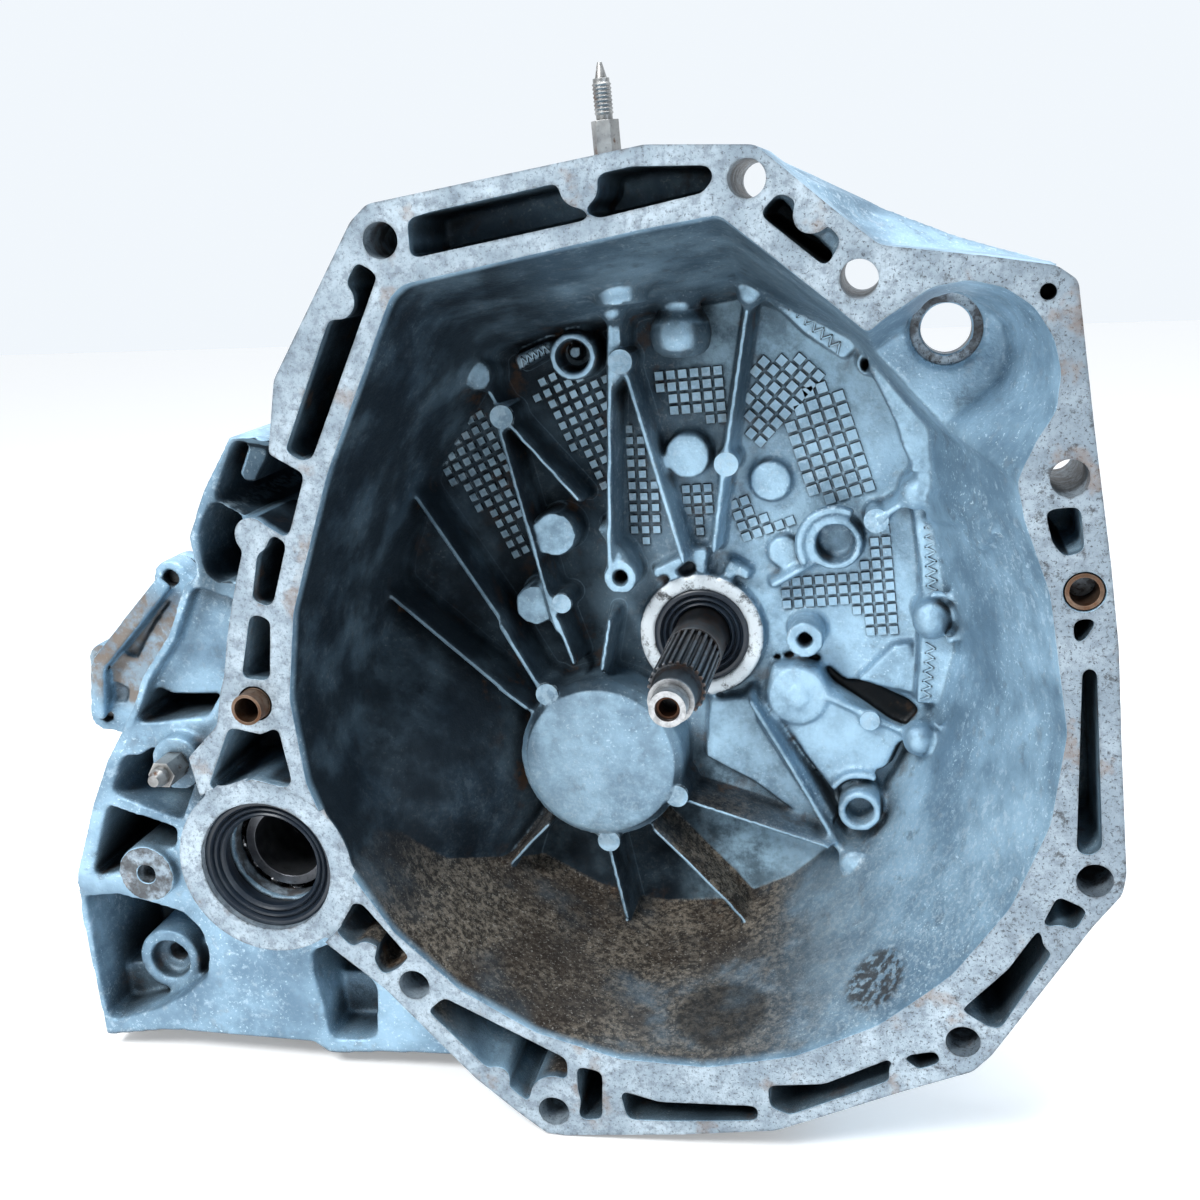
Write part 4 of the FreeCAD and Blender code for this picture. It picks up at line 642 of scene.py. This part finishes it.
def machined_aluminium():
    s = Shader("machined_aluminium")
    cloud = s.noise(45, 5, 0.6)
    base = s.mix(s.step(cloud, 0.35, 0.7), rgb(0.27, 0.34, 0.40), rgb(0.47, 0.56, 0.63))
    wear = s.step(s.noise(210, 6, 0.75), 0.44, 0.64)
    base = s.mix(s.times(wear, 0.65), base, rgb(0.13, 0.16, 0.20))
    pits = s.step(s.noise(760, 4, 0.75), 0.55, 0.62)
    side = s.step(s.axis("X"), -0.12, 0.13, 0.55, 1.0)
    base = s.mix(s.times(s.step(s.axis("X"), 0.10, 0.16), 0.45), base, rgb(0.16, 0.20, 0.24))
    base = s.mix(s.times(pits, side, 0.85), base, rgb(0.04, 0.045, 0.055))
    grime = s.times(s.step(s.noise(120, 6, 0.8), 0.54, 0.64), s.step(s.axis("X"), 0.03, 0.12))
    base = s.mix(s.times(grime, 0.75), base, rgb(0.030, 0.027, 0.027))
    stain = s.times(s.step(s.noise(38, 4, 0.6), 0.58, 0.66), s.noise(400, 4))
    base = s.mix(s.times(stain, 0.8), base, rgb(0.22, 0.13, 0.075))
    rim = s.times(s.shade(2.0, 0.35, 0.85, True), s.step(s.noise(240, 4), 0.36, 0.58))
    base = s.mix(s.times(rim, 0.80), base, rgb(0.035, 0.030, 0.028))
    # Painted shade: faces more than 5 mm behind the flange, in the bores, go dark in patches.
    deep_bore_shade = s.times(s.step(s.axis("Y"), 0.005, 0.016), s.step(s.noise(170, 5), 0.38, 0.60))
    base = s.mix(s.times(deep_bore_shade, 0.80), base, rgb(0.04, 0.033, 0.030))
    rough = s.math("ADD", s.times(cloud, 0.25), 0.30)
    height = s.math("SUBTRACT", s.noise(1500, 2), s.times(pits, 0.9))
    return s.finish(base, rough, 0.40, height, 0.12, 0.6)


def plain_metal(name, dark, pale, rough, grain=700, metal=0.9, rust=0.0):
    s = Shader(name)
    cloud = s.noise(60, 5, 0.6)
    base = s.mix(s.step(cloud, 0.35, 0.68), rgb(*dark), rgb(*pale))
    base = s.mix(s.times(s.step(s.noise(520, 4, 0.7), 0.55, 0.70), 0.5), base, rgb(*[c * 0.45 for c in dark]))
    if rust:
        spots = s.step(s.noise(180, 5, 0.7), 0.62 - rust * 0.25, 0.70)
        base = s.mix(spots, base, rgb(0.13, 0.052, 0.022))
    # Painted shade: corners darken.
    base = s.mix(s.times(s.shade(4, 0.35, 0.9), 0.85), base, rgb(0.02, 0.018, 0.016))
    base = s.mix(s.times(s.shade(0.8, 0.3, 0.8, True), 0.4), base, rgb(*[min(0.9, c * 1.6) for c in pale]))
    height = s.noise(grain, 3, 0.6)
    return s.finish(base, s.math("ADD", s.times(cloud, 0.2), rough), metal, height, 0.05, 0.5, 0.35)


def shaft_steel():
    """The input shaft: bright pilot, dark splines with polished crests, brown centre hole."""
    s = Shader("shaft_steel")
    cloud = s.noise(80, 5, 0.6)
    base = s.mix(s.step(cloud, 0.35, 0.68), rgb(0.035, 0.038, 0.042), rgb(0.10, 0.105, 0.115))
    reach = s.reach(INPUT)
    splines = s.times(s.step(reach, 0.0113, 0.0118), s.step(s.axis("Y"), 0.078, 0.074))
    base = s.mix(s.times(splines, 0.55), base, rgb(0.34, 0.35, 0.37))
    pilot = s.step(s.axis("Y"), 0.0175, 0.0150)
    worn = s.step(s.noise(300, 5, 0.7), 0.40, 0.62, 1.0, 0.55)
    base = s.mix(s.times(pilot, worn), base, rgb(0.50, 0.51, 0.52))
    tooth_rust = s.times(s.step(s.axis("Y"), 0.024, 0.030), s.step(s.noise(140, 5, 0.7), 0.46, 0.62))
    base = s.mix(s.times(tooth_rust, 0.55), base, rgb(0.10, 0.050, 0.028))
    hole = s.times(s.step(reach, 0.0052, 0.0048), pilot)
    base = s.mix(hole, base, rgb(0.075, 0.032, 0.016))
    # Painted shade: corners darken.
    base = s.mix(s.times(s.shade(3, 0.35, 0.9), 0.85), base, rgb(0.012, 0.011, 0.011))
    return s.finish(base, s.math("ADD", s.times(cloud, 0.2), 0.30), 0.85, s.noise(900, 3), 0.05, 0.5, 0.3)


def soft_black(name, colour, rough):
    s = Shader(name)
    dust = s.step(s.noise(120, 5, 0.7), 0.45, 0.75)
    base = s.mix(s.times(dust, 0.30), rgb(*colour), rgb(0.05, 0.06, 0.07))
    return s.finish(base, rough, 0.0, s.noise(900, 3), 0.06, 0.5, 0.3)


def build_materials():
    return {
        "cast_aluminium": cast_aluminium(),
        "machined_aluminium": machined_aluminium(),
        "machined_steel": plain_metal("machined_steel", (0.10, 0.105, 0.12), (0.26, 0.27, 0.29), 0.28),
        "gear_steel": plain_metal("gear_steel", (0.09, 0.09, 0.10), (0.20, 0.205, 0.22), 0.30),
        "bearing_steel": plain_metal("bearing_steel", (0.34, 0.35, 0.37), (0.55, 0.56, 0.58), 0.16),
        "zinc_steel": plain_metal("zinc_steel", (0.20, 0.20, 0.20), (0.46, 0.46, 0.45), 0.32, rust=0.25),
        "bronze": plain_metal("bronze", (0.30, 0.18, 0.06), (0.55, 0.36, 0.14), 0.28),
        "black_rubber": soft_black("black_rubber", (0.010, 0.017, 0.028), 0.36),
        "black_plastic": soft_black("black_plastic", (0.016, 0.016, 0.018), 0.5),
        "rusty_steel": plain_metal("rusty_steel", (0.10, 0.062, 0.042), (0.24, 0.165, 0.12), 0.45, rust=0.8),
        "shaft_steel": shaft_steel(),
    }


def dress_nodes(materials):
    """Gives every carried-over CAD node the material of its slot; the input shaft has its own."""
    slots = {p["node"]: p["material_slot"] for p in frame["record"]["subparts"]}
    for name, thing in nodes.items():
        thing.data.materials.clear()
        thing.data.materials.append(materials["shaft_steel" if name == "input_shaft" else slots[name]])


# ---------------------------------------------------------------- bell housing
def with_allowance(mesh, planes):
    """A copy of the mesh with metal left on some planes, each (axis number, place, distance to move it)."""
    copy = mesh.copy()
    for vertex in copy.vertices:
        for axis, place, distance in planes:
            if abs(vertex.co[axis] - place * MM) < 1e-5:
                vertex.co[axis] = (place + distance) * MM
    return copy


def middle_of(outline):
    return (sum(p[0] for p in outline) / len(outline), sum(p[1] for p in outline) / len(outline))


def drafted(outline, y0, y1, draft):
    """A prism whose sides open out towards y1."""
    centre = middle_of(outline)
    wider = []
    for x, z in outline:
        length = math.hypot(x - centre[0], z - centre[1])
        wider.append((x + (x - centre[0]) / length * draft, z + (z - centre[1]) / length * draft))
    return loop_between(at(outline, y0), at(wider, y1))


def floor_details():
    """Solids that the casting is rounded together with."""
    below = FLOOR_Y + 1
    pieces = [rib(a, b, 2.2, 6.0, y - 0.6, below) for a, b, y in RIBS]
    pieces += [rib(a, b, 6.0, 10.0, y, below) for a, b, y in THICK_RIBS]
    pieces += [ball(centre, y + radius, radius) for centre, radius, y in BALLS]
    pieces += [arc_ridge(*collar) for collar in COLLARS]
    for outline, y, draft in ((PLATE, 100, 1.5), (CORNER_PLATE, 104, 1.5), (FACET, 106, 1.0)):
        pieces.append(drafted(outline, y, below, draft))
    pieces += [drafted(outline, 101.5, below, 0.8) for outline in TABS]
    pieces += [drafted(outline, y, below, 1.0) for outline, y in LEDGES]
    pieces += [on_wall(points, rise) for points, rise in WALL_PADS]
    pieces.append(turned(DOME_PROFILE, DOME))
    pieces.append(loop_between(at(SHOULDER_WEB[0], 5), at(SHOULDER_WEB[1], 62)))
    pieces.append(prism(POCKET_FLOOR, 27, 50))
    pieces += [rib(a, b, 3.4, 4.4, 18, 96) for a, b in zip(POCKET_RIM, POCKET_RIM[1:])]
    pieces += [disc((43.5, -25.9), 5.0, 96.6, 100, 1.0), disc((-50.3, 129.8), 3.2, 96, 104)]
    return pieces


def scratches():
    """Zigzag marks of the casting tool along the ledges."""
    pieces = []
    for start, end, count, half, y in SCRATCHES:
        along = ((end[0] - start[0]) / count / 2, (end[1] - start[1]) / count / 2)
        length = math.hypot(*along)
        side = (-along[1] / length * half, along[0] / length * half)
        points = []
        for k in range(2 * count + 1):
            sign = 1 if k % 2 else -1
            points.append(tuple(start[i] + along[i] * k + side[i] * sign for i in (0, 1)))
        pieces += [rib(a, b, 0.6, 1.3, y, y + 1.2) for a, b in zip(points, points[1:])]
    return pieces


def tile(centre, angle, half, y0, y1):
    """A square tile that widens a little towards its foot at y1."""
    top = [polar(centre, (half - 0.35) * math.sqrt(2), angle + 45 + 90 * k) for k in range(4)]
    foot = [polar(centre, half * math.sqrt(2), angle + 45 + 90 * k) for k in range(4)]
    return loop_between(at(top, y0), at(foot, y1))


def inside(point, outline):
    """Whether a point lies inside a closed outline."""
    result = False
    for (x0, z0), (x1, z1) in zip(outline, outline[1:] + outline[:1]):
        if (z0 > point[1]) != (z1 > point[1]):
            if point[0] < (x1 - x0) * (point[1] - z0) / (z1 - z0) + x0:
                result = not result
    return result


def floor_tiles():
    """Rows of square tiles that fill the outlined fields."""
    pieces = []
    for outline, direction, pitch, gap in TILE_FIELDS:
        along = polar((0, 0), 1, direction)
        aside = polar((0, 0), 1, direction + 90)
        centre = middle_of(outline)
        for i in range(-14, 15):
            for j in range(-14, 15):
                place = (
                    centre[0] + (i * along[0] + j * aside[0]) * pitch,
                    centre[1] + (i * along[1] + j * aside[1]) * pitch,
                )
                if inside(place, outline):
                    pieces.append(tile(place, direction, (pitch - gap) / 2, FLOOR_Y - 1.3, FLOOR_Y + 0.4))
    return pieces


def crisp_details():
    """Sharp-edged marks that are added after the casting is rounded."""
    pieces = floor_tiles() + scratches()
    pieces += [disc(centre, radius, y, y + 2.0, 0.2) for centre, radius, y in EJECTOR_MARKS]
    return pieces


def hole_plugs():
    """Metal that fills the drilled blind holes of the casting until they are machined."""
    return [disc((x, z), 8.0, -ALLOWANCE, depth - 2) for x, z, depth in BOLT_HOLES if depth < THROUGH]


def machining_groups():
    """What machining removes: the flange face, the differential ring, bores and spot faces."""
    slab = prism([(-400, -260), (300, -260), (300, 300), (-400, 300)], -20, 0)
    inner, outer = DIFF_SEAL_R, DIFF_RING_R
    ring = turned([(inner, -25), (outer, -25), (outer, DIFF_RING_Y), (inner, DIFF_RING_Y)], DIFF)
    steps = [(0, -1), (inner, -1), (inner, 20), (22.5, 20), (22.5, 30), (36, 30), (36, 49), (0, 49)]
    bearing_bore = turned(steps, DIFF)
    drills = [disc((x, z), BOLT_HOLE_R, -20, depth) for x, z, depth in BOLT_HOLES]
    bores = [
        disc(INPUT, SEAL_R, 90, 113), disc(LOWER_BOSSES[0], 4.5, 0, 44), disc(LOWER_BOSSES[1], 4.5, 30, 90),
        disc(STARTER_HOLE, 9.5, 30, 80), disc(SIDE_STUD, 4.05, 0, 60), disc(OUTPUT, 31.0, 93, 112),
    ]
    bores += [disc(centre, 6.75, -20, 14) for centre in DOWELS]
    faces = [
        disc(LOWER_BOSSES[0], 15, 5, 20.6), disc(STARTER_HOLE, 13.5, 20, 50.5), disc(INPUT, 19.0, 100, 132),
    ]
    return [[slab], [ring], [bearing_bore], drills, bores, faces]


def build_housing(materials):
    """Casts the housing with its details in one skin, then machines it."""
    rough = with_allowance(nodes["clutch_housing"].data, ((1, 0.0, -ALLOWANCE), (1, DIFF_RING_Y, -ALLOWANCE)))
    housing = join("bell_housing", [rough, make_mesh("details", floor_details() + hole_plugs())])
    housing.data.materials.clear()
    remesh(housing, VOXEL, 0)
    machine(housing, [[drafted(GROOVE, 100, 115, -1.0)]], None)
    remesh(housing, VOXEL, 5)
    housing.data.materials.clear()
    housing.data.materials.append(materials["cast_aluminium"])
    machine(housing, machining_groups(), materials["machined_aluminium"])
    whole = join("bell_housing_cast", [housing.data, make_mesh("crisp", crisp_details())])
    for material in housing.data.materials:
        whole.data.materials.append(material)
    bpy.data.objects.remove(housing)
    return dressed(whole, "housing", "clutch_housing")


def dressed(piece, body, replaced):
    """The piece takes the place of a CAD node on its body."""
    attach(piece, body)
    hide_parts(replaced)
    return piece


# ---------------------------------------------------------------- other castings
def recast(node, slot, materials, extra, planes, voxel, smoothing, groups):
    """A CAD node made again as a rounded casting with crisp machined faces."""
    meshes = [with_allowance(nodes[node].data, planes)]
    if extra:
        meshes.append(make_mesh("extra", extra))
    piece = join(node + "_cast", meshes)
    piece.data.materials.clear()
    remesh(piece, voxel, smoothing)
    piece.data.materials.clear()
    piece.data.materials.append(materials[slot])
    machine(piece, groups, materials["machined_aluminium"])
    return dressed(piece, body_of(nodes[node])[0], node)


def case_ridges():
    """Ridges round the gear case over the two shafts."""
    pieces = []
    for y in (JOINT_Y + 70, JOINT_Y + 110, JOINT_Y + 150):
        pieces.append(arc_ridge(INPUT, 67.5, 3.2, y, -15, 85))
        pieces.append(arc_ridge(OUTPUT, 71.5, 3.2, y, 180, 295))
    return pieces


def build_gear_case(materials):
    foot = prism([(-400, FOOT_Z - 7), (300, FOOT_Z - 7), (300, FOOT_Z), (-400, FOOT_Z)], 100, 400)
    spot_faces = [disc(centre, 8.6, JOINT_Y + 8.9, JOINT_Y + 14) for centre in EARS]
    groups = [[foot], spot_faces]
    recast("gear_case", "cast_aluminium", materials, case_ridges(), ((2, FOOT_Z, -1.5),), 1.5, 4, groups)


def build_end_cover(materials):
    """The end cover has short ribs round a boss over each shaft."""
    crest = CASE_END_Y + 22.8
    below = CASE_END_Y + 18
    ribs = []
    for centre, angles in ((INPUT, (-40, 20, 80, 140)), (OUTPUT, (120, 180, 240, 300))):
        ribs += [rib(polar(centre, 14, a), polar(centre, 29, a), 2.0, 3.5, crest, below) for a in angles]
        ribs.append(disc(centre, 12, crest, below))
    spot_faces = [disc(centre, 5.4, CASE_END_Y + 5.8, CASE_END_Y + 12) for centre in COVER_BOLTS]
    recast("end_cover", "cast_aluminium", materials, ribs, (), 1.0, 4, [spot_faces])


def build_small_castings(materials):
    recast("selector_cover", "cast_aluminium", materials, [], (), 0.8, 3, [])
    recast("shift_lever", "machined_steel", materials, [], (), 0.8, 4, [])


# ---------------------------------------------------------------- fittings
def seal_profile(outer, inner, front, back):
    """A lip seal with rounded rings between its case and its lip; crests are in ninths of its width."""
    step = (outer - inner) / 9
    crests = (
        (0.4, 0.3), (1.0, 0.0), (2.4, 0.0), (3.0, 1.0), (3.6, 2.2), (4.2, 1.0), (4.9, 0.4), (5.5, 1.2),
        (6.2, 3.0), (6.9, 1.8), (7.6, 1.2), (8.3, 2.0),
    )
    profile = [(outer, front + 0.4)] + [(outer - step * k, front + deep_bore_shade) for k, deep_bore_shade in crests]
    middle = (front + back) / 2
    lip = [(inner, front + 3.0), (inner, middle), (inner + 1.6, middle + 1.0), (inner + 2.0, back)]
    return profile + lip + [(outer, back)]


def build_seals(materials):
    rubber = materials["black_rubber"]
    piece = make_object("input_seal", [turned(seal_profile(SEAL_R, SEAL_LIP_R, 105, 112.5), INPUT)], rubber)
    dressed(piece, "housing", "input_shaft_seal")
    front = seal_profile(DIFF_SEAL_R, DIFF_SEAL_LIP_R, 7, 18)
    rear = [(r, 215 - y) for r, y in front]
    piece = make_object("half_shaft_seals", [turned(front, DIFF), turned(rear, DIFF)], rubber)
    dressed(piece, "housing", "differential_seals")


def bolt(centre, y_head, radius, length, across_flats):
    """A flanged bolt with a chamfered hexagon and a grooved shank."""
    pitch = 1.25
    shank = [(0, y_head - length), (radius * 0.8, y_head - length), (radius, y_head - length + 1)]
    for k in range(int((length - 3) / pitch)):
        y = y_head - length + 1.2 + pitch * k
        shank += [(radius, y), (radius * 0.88, y + 0.6)]
    shank += [(radius, y_head - 1.5), (radius, y_head + 0.2), (0, y_head + 0.2)]
    flange = [(0, y_head), (across_flats * 0.60, y_head), (across_flats * 0.62, y_head + 0.4),
              (across_flats * 0.60, y_head + 0.9), (across_flats * 0.52, y_head + 1.8), (0, y_head + 1.8)]
    top = y_head + radius * 1.7
    head = hexagon(centre, across_flats, y_head + 1.2, top - 0.5, 1.0)
    return [turned(shank, centre, 32), turned(flange, centre, 32)] + head


def build_bolts(materials):
    for name, node, centres, y_head, radius, across_flats in (
        ("joint_bolts", "case_bolts", EARS, JOINT_Y + 9, 4.0, 12.0),
        ("cover_bolts", "end_cover_bolts", COVER_BOLTS, CASE_END_Y + 6, 2.6, 8.0),
    ):
        shells = []
        for centre in centres:
            shells += bolt(centre, y_head, radius, 18, across_flats)
        dressed(make_object(name, shells, materials["zinc_steel"]), "housing", node)


# ---------------------------------------------------------------- camera, light and floor
def place_camera():
    """The camera stands above and to the right of the input shaft, half a metre from the flange."""
    forward = Vector((-0.2081, 0.9418, -0.2639)).normalized()
    up = Vector((-0.0102, 0.2677, 0.9634))
    right = forward.cross(up).normalized()
    up = right.cross(forward)
    data = bpy.data.cameras.new("camera")
    data.lens = 42.0
    data.sensor_width = 36.0
    data.clip_start = 0.01
    camera = bpy.data.objects.new("camera", data)
    bpy.context.scene.collection.objects.link(camera)
    rotation = Matrix((right, up, -forward)).transposed().to_4x4()
    camera.matrix_world = Matrix.Translation((0.0872, -0.5, 0.1857)) @ rotation
    bpy.context.scene.camera = camera


def add_light(name, place, target, size, energy, colour):
    data = bpy.data.lights.new(name, "AREA")
    data.size = size
    data.energy = energy
    data.color = colour
    lamp = bpy.data.objects.new(name, data)
    bpy.context.scene.collection.objects.link(lamp)
    lamp.location = place
    direction = Vector(target) - Vector(place)
    lamp.rotation_euler = direction.to_track_quat("-Z", "Y").to_euler()


def build_floor():
    """A pale floor that glows a little, so that it stays white away from the lights."""
    half = 4.0
    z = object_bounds()[0][2]
    corners = [(-half, -half, z), (half, -half, z), (half, half, z), (-half, half, z)]
    mesh = bpy.data.meshes.new("floor")
    mesh.from_pydata(corners, [], [(0, 1, 2, 3)])
    floor = bpy.data.objects.new("floor", mesh)
    bpy.context.scene.collection.objects.link(floor)
    paint = bpy.data.materials.new("floor_paint")
    paint.use_nodes = True
    inputs = paint.node_tree.nodes["Principled BSDF"].inputs
    inputs["Base Color"].default_value = rgb(0.86, 0.86, 0.86)
    inputs["Roughness"].default_value = 0.9
    inputs["Emission Color"].default_value = rgb(1.0, 1.0, 1.0)
    inputs["Emission Strength"].default_value = 0.30
    floor.data.materials.append(paint)


def build_world():
    """A sky that is bright behind the gearbox and overhead, and dim in front of the flange."""
    world = bpy.data.worlds.new("world")
    world.use_nodes = True
    tree = world.node_tree
    where = tree.nodes.new("ShaderNodeTexCoord")
    split = tree.nodes.new("ShaderNodeSeparateXYZ")
    tree.links.new(where.outputs["Generated"], split.inputs[0])
    total = tree.nodes.new("ShaderNodeMath")
    ramps = (("Y", (-0.1, 0.5, 0.20, 0.98)), ("Z", (0.35, 0.9, 0.0, 0.45)))
    for number, (axis, limits) in enumerate(ramps):
        ramp = tree.nodes.new("ShaderNodeMapRange")
        for socket, value in enumerate(limits, 1):
            ramp.inputs[socket].default_value = value
        tree.links.new(split.outputs[axis], ramp.inputs[0])
        tree.links.new(ramp.outputs[0], total.inputs[number])
    background = tree.nodes["Background"]
    background.inputs[0].default_value = (0.90, 0.95, 1.0, 1)
    tree.links.new(total.outputs[0], background.inputs[1])
    bpy.context.scene.world = world


def build_stage():
    build_floor()
    build_world()
    add_light("key", (-0.65, -1.0, 1.15), (0, 0.05, 0), 0.5, 30, (0.97, 0.99, 1.0))
    add_light("top", (0.15, 0.05, 1.4), (0, 0.05, 0), 0.6, 12, (0.95, 0.98, 1.0))
    add_light("right", (1.2, -0.9, 0.4), (0, 0, 0), 0.8, 5, (0.80, 0.90, 1.0))


materials = build_materials()
dress_nodes(materials)
build_housing(materials)
build_gear_case(materials)
build_end_cover(materials)
build_small_castings(materials)
build_seals(materials)
build_bolts(materials)
place_camera()
build_stage()
bpy.context.scene.view_settings.view_transform = "Standard"
